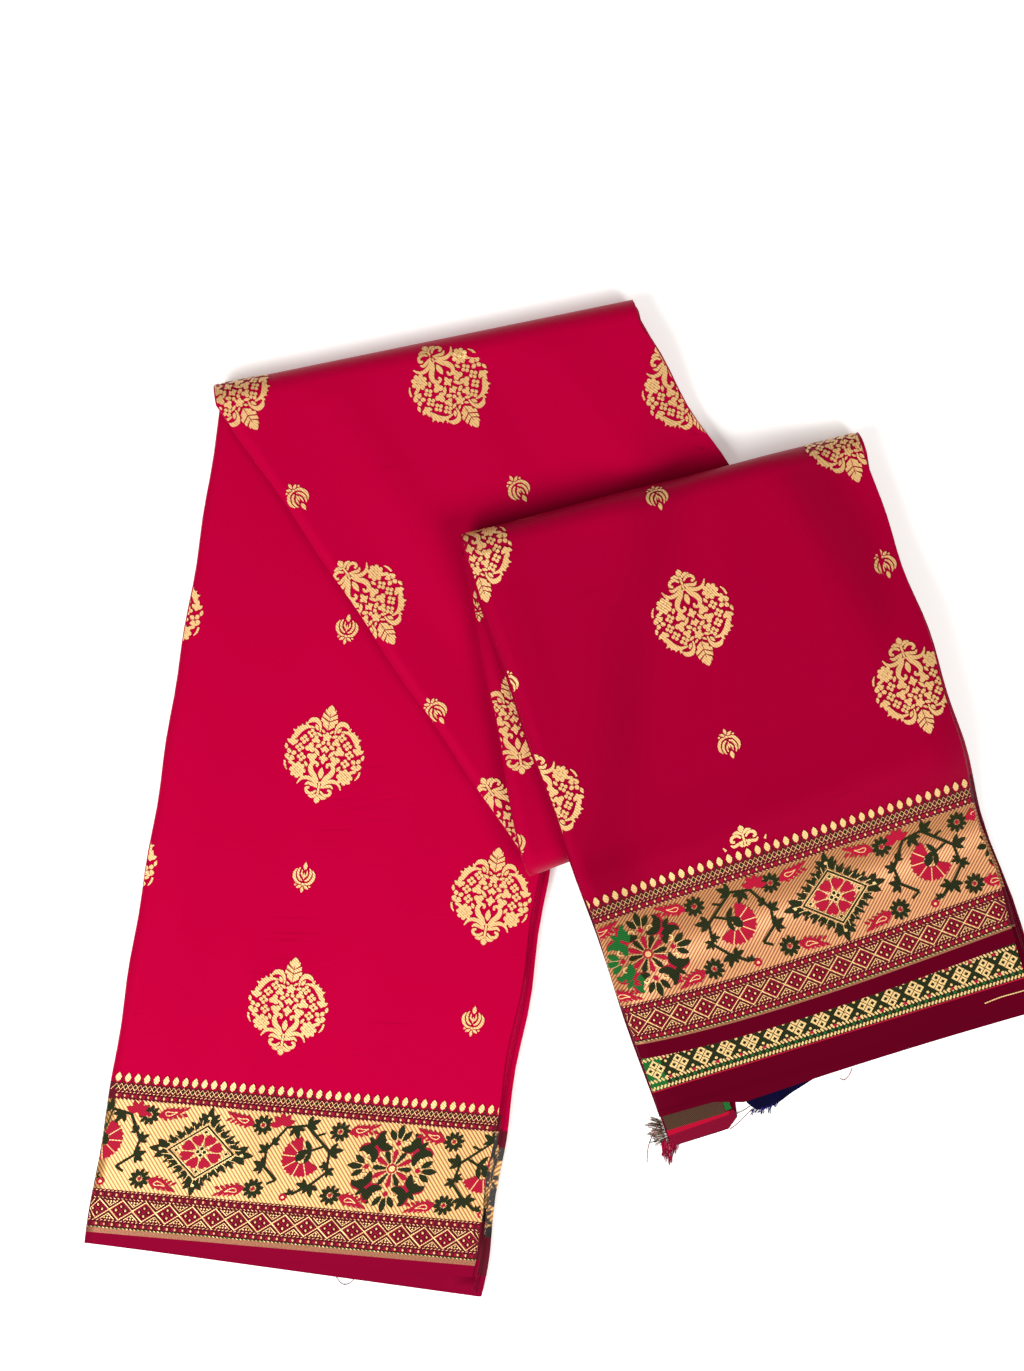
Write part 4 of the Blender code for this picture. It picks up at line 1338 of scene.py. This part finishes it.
def beads_tree():
    """Node group: sets one shape on every point, its X along the heading kept on the point."""
    tree = bpy.data.node_groups.new("shapes set on points", "GeometryNodeTree")
    for name, kind in (("Geometry", "NodeSocketGeometry"), ("Shape", "NodeSocketObject"),
                       ("Unevenness", "NodeSocketFloat"), ("Seed", "NodeSocketInt"),
                       ("Material", "NodeSocketMaterial")):
        tree.interface.new_socket(name, in_out="INPUT", socket_type=kind)
    tree.interface.new_socket("Geometry", in_out="OUTPUT", socket_type="NodeSocketGeometry")
    nodes = tree.nodes
    links = tree.links
    given = nodes.new("NodeGroupInput")
    shape = nodes.new("GeometryNodeObjectInfo")
    heading = nodes.new("GeometryNodeInputNamedAttribute")
    heading.data_type = "FLOAT_VECTOR"
    heading.inputs["Name"].default_value = "heading"
    align = nodes.new("FunctionNodeAlignRotationToVector")
    align.axis = "X"
    uneven = nodes.new("FunctionNodeRandomValue")
    smallest = nodes.new("ShaderNodeMath")
    smallest.operation = "SUBTRACT"
    smallest.inputs[0].default_value = 1.0
    place = nodes.new("GeometryNodeInstanceOnPoints")
    realize = nodes.new("GeometryNodeRealizeInstances")
    paint = nodes.new("GeometryNodeSetMaterial")
    result = nodes.new("NodeGroupOutput")
    links.new(given.outputs["Shape"], shape.inputs["Object"])
    links.new(heading.outputs["Attribute"], align.inputs["Vector"])
    links.new(given.outputs["Unevenness"], smallest.inputs[1])
    links.new(smallest.outputs["Value"], uneven.inputs[2])
    links.new(given.outputs["Seed"], uneven.inputs["Seed"])
    links.new(given.outputs["Geometry"], place.inputs["Points"])
    links.new(shape.outputs["Geometry"], place.inputs["Instance"])
    links.new(align.outputs["Rotation"], place.inputs["Rotation"])
    links.new(uneven.outputs[1], place.inputs["Scale"])
    links.new(place.outputs["Instances"], realize.inputs["Geometry"])
    links.new(realize.outputs["Geometry"], paint.inputs["Geometry"])
    links.new(given.outputs["Material"], paint.inputs["Material"])
    links.new(paint.outputs["Geometry"], result.inputs["Geometry"])
    return tree


def grown(name, start, tree, values):
    """Run a node group once on a start mesh or curve with its inputs set, and keep the plain mesh."""
    guide = bpy.data.objects.new(name + " guide", start)
    bpy.context.scene.collection.objects.link(guide)
    modifier = guide.modifiers.new("grow", "NODES")
    modifier.node_group = tree
    for socket in tree.interface.items_tree:
        if socket.in_out == "INPUT" and socket.name in values:
            modifier[socket.identifier] = values[socket.name]
    bpy.context.view_layer.update()
    graph = bpy.context.evaluated_depsgraph_get()
    mesh = bpy.data.meshes.new_from_object(guide.evaluated_get(graph))
    mesh.name = name
    bpy.data.objects.remove(guide, do_unlink=True)
    piece = bpy.data.objects.new(name, mesh)
    bpy.context.scene.collection.objects.link(piece)
    return piece


def bead_shape(half_length, half_width, half_height):
    """A flattened round float of thread."""
    mesh = bpy.data.meshes.new("float")
    body = bmesh.new()
    bmesh.ops.create_icosphere(body, subdivisions=1, radius=1.0)
    for vertex in body.verts:
        vertex.co = Vector((vertex.co.x * half_length, vertex.co.y * half_width,
                            vertex.co.z * half_height)) * MM
    body.to_mesh(mesh)
    body.free()
    return bpy.data.objects.new("float", mesh)


BEAD_LIFT = FIGURE_LIFT + 0.1
BEAD_HALF = (0.62, 0.85, 0.3)             # half its length, width and height
QUARTER_DOT = (0.2, 0.4)                  # its place in a diamond, as shares of the pitch and the rise
bead_points = []
bead_headings = []
for arm in (LEFT_ARM, RIGHT_ARM):
    spots = [(step * BEAD_PITCH, row) for row in BEAD_ROWS for step in range(1, int(BAND_WIDTH / BEAD_PITCH))]
    for cell in range(int(BAND_WIDTH / LATTICE_PITCH) + 1):
        x = (cell + LATTICE_LEAD) * LATTICE_PITCH
        for across, up in ((-1, 0), (1, 0), (0, -1), (0, 1)):
            spots.append((x + across * LATTICE_PITCH * QUARTER_DOT[0],
                          LATTICE_MIDDLE + up * LATTICE_RISE * QUARTER_DOT[1]))
    for x, depth in spots:
        plan = border_place(arm, x, depth)
        onward = border_place(arm, x + 1.0, depth) - plan
        if kept_inside(arm, plan)[1] > 0:
            continue
        bead_points.append(to_frame(on_cloth(arm, plan, BEAD_LIFT)))
        bead_headings.append((onward.x, onward.y, 0.0))
bead_mesh = bpy.data.meshes.new("bead places")
bead_mesh.from_pydata(bead_points, [], [])
kept = bead_mesh.attributes.new("heading", "FLOAT_VECTOR", "POINT")
for index, value in enumerate(bead_headings):
    kept.data[index].vector = value
bead = bead_shape(*BEAD_HALF)
beads = grown("gold_beads", bead_mesh, beads_tree(),
              {"Shape": bead, "Unevenness": 0.25, "Seed": 4, "Material": light_gold})
bpy.data.objects.remove(bead, do_unlink=True)
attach(beads, "root")

# The second border
# Under the top layers of the right arm another layer runs on, woven with a narrower border of its own:
# gold squares on dark green between rope lines, then plain maroon.

SECOND_LAYER = next(layer for layer in range(LAYERS) if round(group_place(layer_height(layer))) == 2)
SECOND_BELOW = layer_height(SECOND_LAYER) - CLOTH_THICKNESS / 2
# Distances across are from the right arm's left edge, and runs are from its finish edge outward
GROUND_RUNS = (-3.0, 6.0, 17.4)
GROUND_STEPS = 44
GREEN_ENDS_AT = 11.0                      # the ground's bright green end, across
SQUARES_RUN = 7.8
SQUARES_PITCH = 11.7
SQUARES_LEAD = 0.45
SQUARES_REACH = 4.7
SQUARE_SPREAD = SQUARES_REACH * 0.54      # from the middle of four squares to the middle of each
SQUARE_HALF = (2.35, 2.2)
EYE_HALF = (1.0, 0.95)
CORNER_DOTS = (
    # aside, inward, half length, half width
    (0.0, 1.8, 0.75, 0.7), (-1.7, 0.3, 0.7, 0.6), (1.7, 0.3, 0.7, 0.6),
)
ROPES = ((2.2, 1.0), (13.0, 1.0), (16.4, -1.0))      # run, and which way its floats lean
ROPE_PITCH = 1.8
KNOTS_RUN = 14.7
ORANGE_LINE_RUN = 17.8
LOOSE_LINE = ((164.0, 24.0), (172.0, 23.4), (180.0, 23.6), (190.0, 23.8))


def past_finish(across, run):
    """A place measured across from the finish edge's left end, and past that edge."""
    share = across / BAND_WIDTH
    start = along(SPANS[RIGHT_ARM][0], share)
    end = along(SPANS[RIGHT_ARM][1], share)
    return end + (end - start).normalized() * run


def weave_second(weaver, shapes, below=SECOND_BELOW):
    """Weave shapes given by across and run on a layer under the right arm's top."""
    for corners in shapes:
        weaver.weave(RIGHT_ARM, [past_finish(across, run) for across, run in corners], below)


def ground_step(step):
    """Where a step of the ground begins and ends across the band; it laps over the steps beside it."""
    return BAND_WIDTH * step / GROUND_STEPS - 1.0, BAND_WIDTH * (step + 1) / GROUND_STEPS + 0.4


# Each colour with its height over the layer, so that it lies on the ones that it crosses
second_ground = Weaver(0.15)
second_bright = Weaver(0.2)
second_gold = Weaver(0.3)
second_dark = Weaver(0.4)
second_red = Weaver(0.32)
for step in range(GROUND_STEPS):
    near, far = ground_step(step)
    for low, high in zip(GROUND_RUNS, GROUND_RUNS[1:]):
        part = [[(near, low), (far, low), (far, high), (near, high)]]
        weave_second(second_bright if far < GREEN_ENDS_AT else second_ground, part)
for step in range(int(BAND_WIDTH / SQUARES_PITCH) + 2):
    x = (step + SQUARES_LEAD) * SQUARES_PITCH
    for across, on in ((1.0, 0.0), (-1.0, 0.0), (0.0, 1.0), (0.0, -1.0)):
        square_x = x + across * SQUARE_SPREAD
        square_y = SQUARES_RUN + on * SQUARE_SPREAD
        weave_second(second_gold, [oval(square_x, square_y, *SQUARE_HALF, 0.0, 4)])
        weave_second(second_dark, [oval(square_x, square_y, *EYE_HALF, 0.0, 4)])
    between = x + SQUARES_PITCH / 2
    for side in (-1, 1):
        foot = SQUARES_RUN + side * SQUARES_REACH
        for aside, inward, half_length, half_width in CORNER_DOTS:
            dot = oval(between + aside, foot - side * inward, half_length, half_width, 0.0, 6)
            weave_second(second_gold, [dot])
        weave_second(second_red, [oval(between, foot + side * 0.2, 1.0, 0.8, 0.0, 6)])
for run, lean in ROPES:
    for step in range(int(BAND_WIDTH / ROPE_PITCH) + 2):
        x = step * ROPE_PITCH
        weave_second(second_gold, stem([(x - 0.55, run - 0.75 * lean), (x + 0.55, run + 0.75 * lean)], 0.9))
for step in range(int(BAND_WIDTH / (2 * ROPE_PITCH)) + 2):
    x = 2 * step * ROPE_PITCH + ROPE_PITCH / 2
    weave_second(second_bright, [oval(x, KNOTS_RUN, 0.8, 0.7, 0.0, 6)])
for step in range(GROUND_STEPS):
    near, far = ground_step(step)
    weave_second(second_red, stem([(near, ORANGE_LINE_RUN), (far, ORANGE_LINE_RUN)], 0.55))
weave_second(second_gold, stem(smooth(LOOSE_LINE, 6), 0.5))
second_ground.finish("second_border_ground", dark_inlay, "crimson_silk")
second_bright.finish("second_border_bright_end", green_inlay, "crimson_silk")
second_gold.finish("second_border_gold", light_gold, "crimson_silk")
second_dark.finish("second_border_eyes", dark_inlay, "crimson_silk")
second_red.finish("second_border_red", red_inlay, "crimson_silk")

# The tape on the tongue
# Where the lowest layers run on as a tongue, a narrow brown tape with a bright green end lies along
# them, and below it a flap of the silk is turned up, with a painted highlight where its fold catches the
# light.

# Outlines by across and run, and heights over the tongue
TAPE_ACROSS = (1.0, 30.4)
TAPE_RUN = (30.8, 38.2)
TAPE_LIFT = 0.55
TAPE_STEPS = 16
GREEN_END = ((30.6, 31.1), (33.6, 30.8), (33.6, 37.2), (30.6, 37.4))
FLAP_EDGE = (
    (0.6, 38.0), (34.2, 37.8), (35.2, 39.6), (34.6, 41.6), (32.2, 44.0), (28.8, 45.7), (0.8, 45.9),
)
FLAP_LIFT = 0.3
FOLD_EDGE = ((0.8, 38.0), (32.2, 37.8), (31.6, 39.6), (0.8, 40.8))
FOLD_LIFT = 0.42
TONGUE_BELOW = layer_height(LAYERS - TONGUE_LAYERS) - CLOTH_THICKNESS / 2

tape = Weaver(TAPE_LIFT)
for step in range(TAPE_STEPS):
    near = TAPE_ACROSS[0] + (TAPE_ACROSS[1] - TAPE_ACROSS[0]) * step / TAPE_STEPS
    far = TAPE_ACROSS[0] + (TAPE_ACROSS[1] - TAPE_ACROSS[0]) * (step + 1) / TAPE_STEPS
    weave_second(tape, [[(near, TAPE_RUN[0]), (far, TAPE_RUN[0]), (far, TAPE_RUN[1]), (near, TAPE_RUN[1])]],
                 TONGUE_BELOW)
tape_end = Weaver(TAPE_LIFT)
weave_second(tape_end, [GREEN_END], TONGUE_BELOW)


def tape_material():
    """Brown cotton and silk tape: close slanting ribs, duller than the silk."""
    material, shader = new_material("olive_brown_twill_tape")
    where = node(material, "ShaderNodeTexCoord")
    ribs = node(material, "ShaderNodeTexWave",
                {"wave_type": "BANDS", "bands_direction": "DIAGONAL", "Scale": 620.0,
                 "Distortion": 1.5, "Detail": 3.0}, {"Vector": where.outputs["Object"]})
    ramp = node(material, "ShaderNodeValToRGB", {}, {"Fac": ribs.outputs["Fac"]})
    ramp.color_ramp.elements[0].color = linear("#2C1A14")
    ramp.color_ramp.elements[1].color = linear("#5A4030")
    material.node_tree.links.new(ramp.outputs["Color"], shader.inputs["Base Color"])
    bump = node(material, "ShaderNodeBump", {"Strength": 0.5, "Distance": 0.0003},
                {"Height": ribs.outputs["Fac"]})
    material.node_tree.links.new(bump.outputs["Normal"], shader.inputs["Normal"])
    shader.inputs["Roughness"].default_value = 0.75
    shader.inputs["Specular IOR Level"].default_value = 0.05
    return material


tape.finish("brown_tape", tape_material(), "crimson_silk")
tape_end.finish("green_tape_end", green_inlay, "crimson_silk")
flap = Weaver(FLAP_LIFT)
weave_second(flap, [FLAP_EDGE], TONGUE_BELOW)
# Dark red: the turned-up maroon edge, made darker still with painted shade under the fold
flap_silk_painted_shade = inlay_material("turned_maroon_silk_flap_with_painted_shade", "#5A001C", "#820028")
flap.finish("turned_flap", flap_silk_painted_shade, "crimson_silk")
fold = Weaver(FOLD_LIFT)
weave_second(fold, [FOLD_EDGE], TONGUE_BELOW)
# The same silk with a painted highlight where the fold faces the window, a line of clear crimson
fold_painted_highlight = inlay_material("crimson_silk_painted_highlight_of_the_flap_fold", "#8E0020", "#B4002E")
fold.finish("flap_fold", fold_painted_highlight, "crimson_silk")

# The frayed ends and loose threads
# Warp yarn pulled free at the tongue's corner: brown and pale ends that fan out to the left, a crimson
# tassel that points down, and a few single threads that lie about the cut end.

YARN_RADIUS = 0.2
YARN_SIDES = 5
THREAD_RADIUS = 0.22
YARN_BEND = 22.0                          # a loose yarn turns by up to so many degrees on its way
YARN_STEPS = 6
FRAY_ROOT = ((-1.0, 33.5), (-1.2, 42.5))  # across and run of the roots' line, from end to end
FRAY_MIDDLE_RUN = 38.0
FRAY_DEPTH = 1.6                          # roots stand up to this far in from that line
FRAY_HEADINGS = (150.0, 214.0)
FRAY_SCATTER = 14.0
FRAY_LENGTHS = (4.0, 8.5)
FRAY_HEIGHTS = (0.4, 1.4)
FRAY_COUNT = 36
TASSEL_ROOT = (1.0, 44.6)
TASSEL_RUNS = (-3.0, 1.0)                 # how far in and out of that its roots stand
TASSEL_HEADING = 262.0
TASSEL_FAN = 3.2                          # degrees by which it fans out, to the millimetre
TASSEL_SCATTER = 8.0
TASSEL_REACH = 4.4                        # half the width of the tassel where it starts
TASSEL_LENGTH = 14.0
TASSEL_HEIGHTS = (0.5, 1.6)
TASSEL_COUNT = 60
SINGLE_HEIGHT = 0.35
# Single threads on the floor, by the pixels that they pass
SINGLE_THREADS = (
    ("crimson", ((660, 1122), (652, 1136), (648, 1148), (647, 1163))),
    ("crimson", ((668, 1140), (671, 1150), (672, 1162))),
    ("crimson", ((752, 1109), (745, 1116), (738, 1123), (730, 1129))),
    ("brown", ((750, 1106), (742, 1111), (735, 1114))),
    ("crimson", ((852, 1068), (849, 1075), (844, 1080), (840, 1078))),
    ("brown", ((334, 1268), (336, 1276), (343, 1284), (351, 1282), (358, 1273))),
    ("brown", ((367, 1272), (364, 1277), (360, 1280))),
)


def threads_tree():
    """Node group: a round yarn along each curve."""
    tree = bpy.data.node_groups.new("yarns along curves", "GeometryNodeTree")
    for name, kind in (("Geometry", "NodeSocketGeometry"), ("Radius", "NodeSocketFloat"),
                       ("Sides", "NodeSocketInt"), ("Material", "NodeSocketMaterial")):
        tree.interface.new_socket(name, in_out="INPUT", socket_type=kind)
    tree.interface.new_socket("Geometry", in_out="OUTPUT", socket_type="NodeSocketGeometry")
    nodes = tree.nodes
    links = tree.links
    given = nodes.new("NodeGroupInput")
    ring = nodes.new("GeometryNodeCurvePrimitiveCircle")
    tube = nodes.new("GeometryNodeCurveToMesh")
    tube.inputs["Fill Caps"].default_value = True
    whole = nodes.new("GeometryNodeRealizeInstances")
    paint = nodes.new("GeometryNodeSetMaterial")
    result = nodes.new("NodeGroupOutput")
    links.new(given.outputs["Radius"], ring.inputs["Radius"])
    links.new(given.outputs["Sides"], ring.inputs["Resolution"])
    links.new(given.outputs["Geometry"], tube.inputs["Curve"])
    links.new(ring.outputs["Curve"], tube.inputs["Profile Curve"])
    links.new(tube.outputs["Mesh"], whole.inputs["Geometry"])
    links.new(whole.outputs["Geometry"], paint.inputs["Geometry"])
    links.new(given.outputs["Material"], paint.inputs["Material"])
    links.new(paint.outputs["Geometry"], result.inputs["Geometry"])
    return tree


def yarn_curves(name, lines):
    """One curve object's data that holds a line for each yarn."""
    data = bpy.data.curves.new(name, "CURVE")
    data.dimensions = "3D"
    for line in lines:
        spline = data.splines.new("POLY")
        spline.points.add(len(line) - 1)
        for point, place in zip(spline.points, line):
            point.co = (*to_frame(place), 1.0)
    return data


def yarn_material(name, deep, lit):
    """Loose silk yarn, which changes tone along its length."""
    material, shader = new_material(name)
    where = node(material, "ShaderNodeTexCoord")
    tones = node(material, "ShaderNodeTexNoise", {"Scale": 260.0, "Detail": 2.0},
                 {"Vector": where.outputs["Object"]})
    ramp = node(material, "ShaderNodeValToRGB", {}, {"Fac": tones.outputs["Fac"]})
    ramp.color_ramp.elements[0].position = 0.35
    ramp.color_ramp.elements[0].color = linear(deep)
    ramp.color_ramp.elements[1].position = 0.68
    ramp.color_ramp.elements[1].color = linear(lit)
    material.node_tree.links.new(ramp.outputs["Color"], shader.inputs["Base Color"])
    shader.inputs["Roughness"].default_value = 0.6
    shader.inputs["Specular IOR Level"].default_value = 0.05
    return material


def loose_yarn(random_source, root, heading, length, height):
    """One yarn that leaves its root and droops to the floor."""
    bend = random_source.uniform(-YARN_BEND, YARN_BEND)
    points = []
    place = Vector((root.x, root.y, height))
    for step in range(YARN_STEPS + 1):
        points.append(place.copy())
        turned = math.radians(heading + bend * step / YARN_STEPS)
        fall = max(YARN_RADIUS + 0.1, height * (1 - (step + 1) / YARN_STEPS))
        place = Vector((place.x + math.cos(turned) * length / YARN_STEPS,
                        place.y + math.sin(turned) * length / YARN_STEPS, fall))
    return points


fray_source = random.Random(21)
brown_lines = []
crimson_lines = []
for number in range(FRAY_COUNT):
    share = (number + fray_source.random()) / FRAY_COUNT
    across, run = (near + (far - near) * share for near, far in zip(*FRAY_ROOT))
    inward = past_finish(FRAY_DEPTH, FRAY_MIDDLE_RUN) - past_finish(0.0, FRAY_MIDDLE_RUN)
    root = past_finish(across, run) + inward * fray_source.random()
    heading = FRAY_HEADINGS[0] + (FRAY_HEADINGS[1] - FRAY_HEADINGS[0]) * share
    heading += fray_source.uniform(-FRAY_SCATTER, FRAY_SCATTER)
    length = fray_source.uniform(*FRAY_LENGTHS)
    brown_lines.append(loose_yarn(fray_source, root, heading, length, fray_source.uniform(*FRAY_HEIGHTS)))
for number in range(TASSEL_COUNT):
    aside = fray_source.uniform(-TASSEL_REACH, TASSEL_REACH)
    root = past_finish(TASSEL_ROOT[0] + aside, TASSEL_ROOT[1] + fray_source.uniform(*TASSEL_RUNS))
    heading = TASSEL_HEADING - TASSEL_FAN * aside + fray_source.uniform(-TASSEL_SCATTER, TASSEL_SCATTER)
    length = TASSEL_LENGTH * (1 - 0.6 * abs(aside) / TASSEL_REACH) * fray_source.uniform(0.6, 1.0)
    crimson_lines.append(loose_yarn(fray_source, root, heading, length, fray_source.uniform(*TASSEL_HEIGHTS)))
thread_lines = {"crimson": [], "brown": []}
for colour, pixels in SINGLE_THREADS:
    spots = [((x - PICTURE_MIDDLE[0]) * PIXEL, (PICTURE_MIDDLE[1] - y) * PIXEL) for x, y in pixels]
    thread_lines[colour].append([Vector((x, y, SINGLE_HEIGHT)) for x, y in smooth(spots, 5)])

yarns = threads_tree()
# Brown with pale lengths, so that the frayed corner looks mixed
brown_yarn = yarn_material("loose_brown_and_pale_warp_yarn", "#24140E", "#7A5844")
# The silk's own crimson, from deep to bright at random along each yarn
crimson_yarn = yarn_material("loose_crimson_warp_yarn", "#480114", "#980A36")
fringe = grown("frayed_yarn", yarn_curves("fray", brown_lines), yarns,
               {"Radius": YARN_RADIUS * MM, "Sides": YARN_SIDES, "Material": brown_yarn})
tassel = grown("crimson_yarn", yarn_curves("tassel", crimson_lines), yarns,
               {"Radius": YARN_RADIUS * MM, "Sides": YARN_SIDES, "Material": crimson_yarn})
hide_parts("frayed_ends")
for piece in (fringe, tassel):
    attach(piece, "root")
for colour, material in (("crimson", crimson_yarn), ("brown", brown_yarn)):
    threads = grown(colour + "_threads", yarn_curves("threads", thread_lines[colour]), yarns,
                    {"Radius": THREAD_RADIUS * MM, "Sides": YARN_SIDES, "Material": material})
    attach(threads, "root")

# The navy end
# A scrap of navy cotton cloth lies loose on the floor, with most of it under the maroon edge. Only its
# tip shows, and the tip's left side is frayed.

NAVY_HIDDEN_RUN = 18.0
NAVY_HEIGHT = 0.5
NAVY_WAVE = 0.28
NAVY_WAVE_TURNS = (0.55, 0.2)             # radians to the millimetre, across and along
# The lower edge of the tip, from its right to its frayed left
NAVY_EDGE = (
    # across, run
    (87.0, 30.5), (79.0, 34.4), (71.0, 36.7), (63.8, 38.7), (57.0, 41.0), (51.0, 42.2), (45.0, 41.4),
    (41.5, 37.0),
)
NAVY_STEPS = (30, 12)
NAVY_FRAY_COUNT = 22
NAVY_FRAY_ACROSS = (43.0, 14.0)           # where it starts, and its width
NAVY_FRAY_RUN = 41.2
NAVY_FRAY_HEADING = 250.0
NAVY_FRAY_LENGTHS = (1.8, 4.2)
NAVY_FRAY_HEIGHT = 0.6


def navy_material():
    """Plain navy cotton: matt, with a fine even weave."""
    material, shader = new_material("navy_cotton_plain_weave")
    where = node(material, "ShaderNodeTexCoord")
    weave = node(material, "ShaderNodeTexWave",
                 {"wave_type": "BANDS", "bands_direction": "X", "Scale": 300.0, "Distortion": 1.0},
                 {"Vector": where.outputs["Object"]})
    ramp = node(material, "ShaderNodeValToRGB", {}, {"Fac": weave.outputs["Fac"]})
    ramp.color_ramp.elements[0].color = linear("#03021A")
    ramp.color_ramp.elements[1].color = linear("#08062C")
    material.node_tree.links.new(ramp.outputs["Color"], shader.inputs["Base Color"])
    bump = node(material, "ShaderNodeBump", {"Strength": 0.4, "Distance": 0.0002},
                {"Height": weave.outputs["Fac"]})
    material.node_tree.links.new(bump.outputs["Normal"], shader.inputs["Normal"])
    shader.inputs["Roughness"].default_value = 0.85
    shader.inputs["Specular IOR Level"].default_value = 0.05
    return material


navy_points = []
navy_faces = []
edge_line = smooth(NAVY_EDGE, 5)
for step in range(NAVY_STEPS[0] + 1):
    across, run = edge_line[round(step * (len(edge_line) - 1) / NAVY_STEPS[0])]
    for row in range(NAVY_STEPS[1] + 1):
        share = row / NAVY_STEPS[1]
        spot = past_finish(across, NAVY_HIDDEN_RUN + (run - NAVY_HIDDEN_RUN) * share)
        wave = math.sin(across * NAVY_WAVE_TURNS[0] + run * NAVY_WAVE_TURNS[1])
        height = NAVY_HEIGHT + NAVY_WAVE * wave * share
        navy_points.append(to_frame(Vector((spot.x, spot.y, height))))
for step in range(NAVY_STEPS[0]):
    for row in range(NAVY_STEPS[1]):
        first = step * (NAVY_STEPS[1] + 1) + row
        navy_faces.append((first, first + 1, first + NAVY_STEPS[1] + 2, first + NAVY_STEPS[1] + 1))
navy_mesh = bpy.data.meshes.new("navy_cloth")
navy_mesh.from_pydata(navy_points, [], navy_faces)
navy_mesh.validate()
# Nearly black blue without a gleam, so that it reads as another cloth than the silk
navy_cotton = navy_material()
navy_mesh.materials.append(navy_cotton)
navy_mesh.polygons.foreach_set("use_smooth", [True] * len(navy_faces))
if navy_mesh.polygons[0].normal.z < 0:
    navy_mesh.flip_normals()
navy = bpy.data.objects.new("navy_cloth", navy_mesh)
bpy.context.scene.collection.objects.link(navy)
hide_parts("blue_end")
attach(navy, "root")
navy_lines = []
for number in range(NAVY_FRAY_COUNT):
    across = NAVY_FRAY_ACROSS[0] + NAVY_FRAY_ACROSS[1] * number / NAVY_FRAY_COUNT
    root = past_finish(across, NAVY_FRAY_RUN + fray_source.uniform(-1.0, 0.8))
    heading = NAVY_FRAY_HEADING + fray_source.uniform(-50.0, 30.0)
    length = fray_source.uniform(*NAVY_FRAY_LENGTHS)
    navy_lines.append(loose_yarn(fray_source, root, heading, length, NAVY_FRAY_HEIGHT))
# A lighter navy than the cloth, because single yarns catch the light
navy_yarn = yarn_material("loose_navy_cotton_yarn", "#0E0A38", "#2A2468")
navy_fray = grown("navy_fray", yarn_curves("navy fray", navy_lines), yarns,
                  {"Radius": THREAD_RADIUS * MM, "Sides": YARN_SIDES, "Material": navy_yarn})
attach(navy_fray, "root")

# The floor
# A plain white paper ground, so wide that its edge is never in view. Both cloths rest on it.

FLOOR_WIDTH = 6.0
FLOOR_HEIGHT = -0.0004                    # just under the lowest yarns
bpy.ops.mesh.primitive_plane_add(size=FLOOR_WIDTH, location=(0, 0, FLOOR_HEIGHT))
floor = bpy.context.object
floor.name = "floor"
# White that glows a little of itself, as the photograph's ground does, with only soft shadows left
white, white_shader = new_material("matt_white_paper_ground")
white_shader.inputs["Base Color"].default_value = linear("#FCFBF9")
white_shader.inputs["Roughness"].default_value = 0.9
white_shader.inputs["Emission Color"].default_value = linear("#FFFDF8")
white_shader.inputs["Emission Strength"].default_value = 0.28
floor.data.materials.append(white)

# The camera and lights
# The camera hangs straight above the cloth, as the photograph was taken. Soft window light comes from
# both sides, stronger from the left, in a bright room.

SENSOR_HEIGHT = 36.0
PICTURE_HEIGHT = 2 * PICTURE_MIDDLE[1]
ROOM_STRENGTH = 0.32
camera_data = bpy.data.cameras.new("above")
camera_data.sensor_fit = "VERTICAL"
camera_data.sensor_height = SENSOR_HEIGHT
camera_data.lens = SENSOR_HEIGHT * VIEW_HEIGHT / (PICTURE_HEIGHT * PIXEL)
camera = bpy.data.objects.new("above", camera_data)
camera.location = to_frame(Vector((0.0, 0.0, VIEW_HEIGHT)))
bpy.context.scene.collection.objects.link(camera)
bpy.context.scene.camera = camera


def soft_light(name, size, power, place, aim):
    """A square soft light aimed at a point."""
    data = bpy.data.lights.new(name, "AREA")
    data.size = size
    data.energy = power
    lamp = bpy.data.objects.new(name, data)
    lamp.location = place
    lamp.rotation_euler = (Vector(aim) - Vector(place)).to_track_quat("-Z", "Y").to_euler()
    bpy.context.scene.collection.objects.link(lamp)


soft_light("left window", 1.0, 40.0, (-0.95, -0.8, 1.5), (-0.05, 0.0, 0.0))
soft_light("right window", 0.8, 24.0, (0.9, -0.95, 1.6), (0.0, 0.0, 0.0))
world = bpy.data.worlds.new("bright room")
world.use_nodes = True
world.node_tree.nodes["Background"].inputs["Color"].default_value = (1.0, 0.99, 0.98, 1.0)
world.node_tree.nodes["Background"].inputs["Strength"].default_value = ROOM_STRENGTH
bpy.context.scene.world = world
bpy.context.scene.view_settings.view_transform = "Standard"
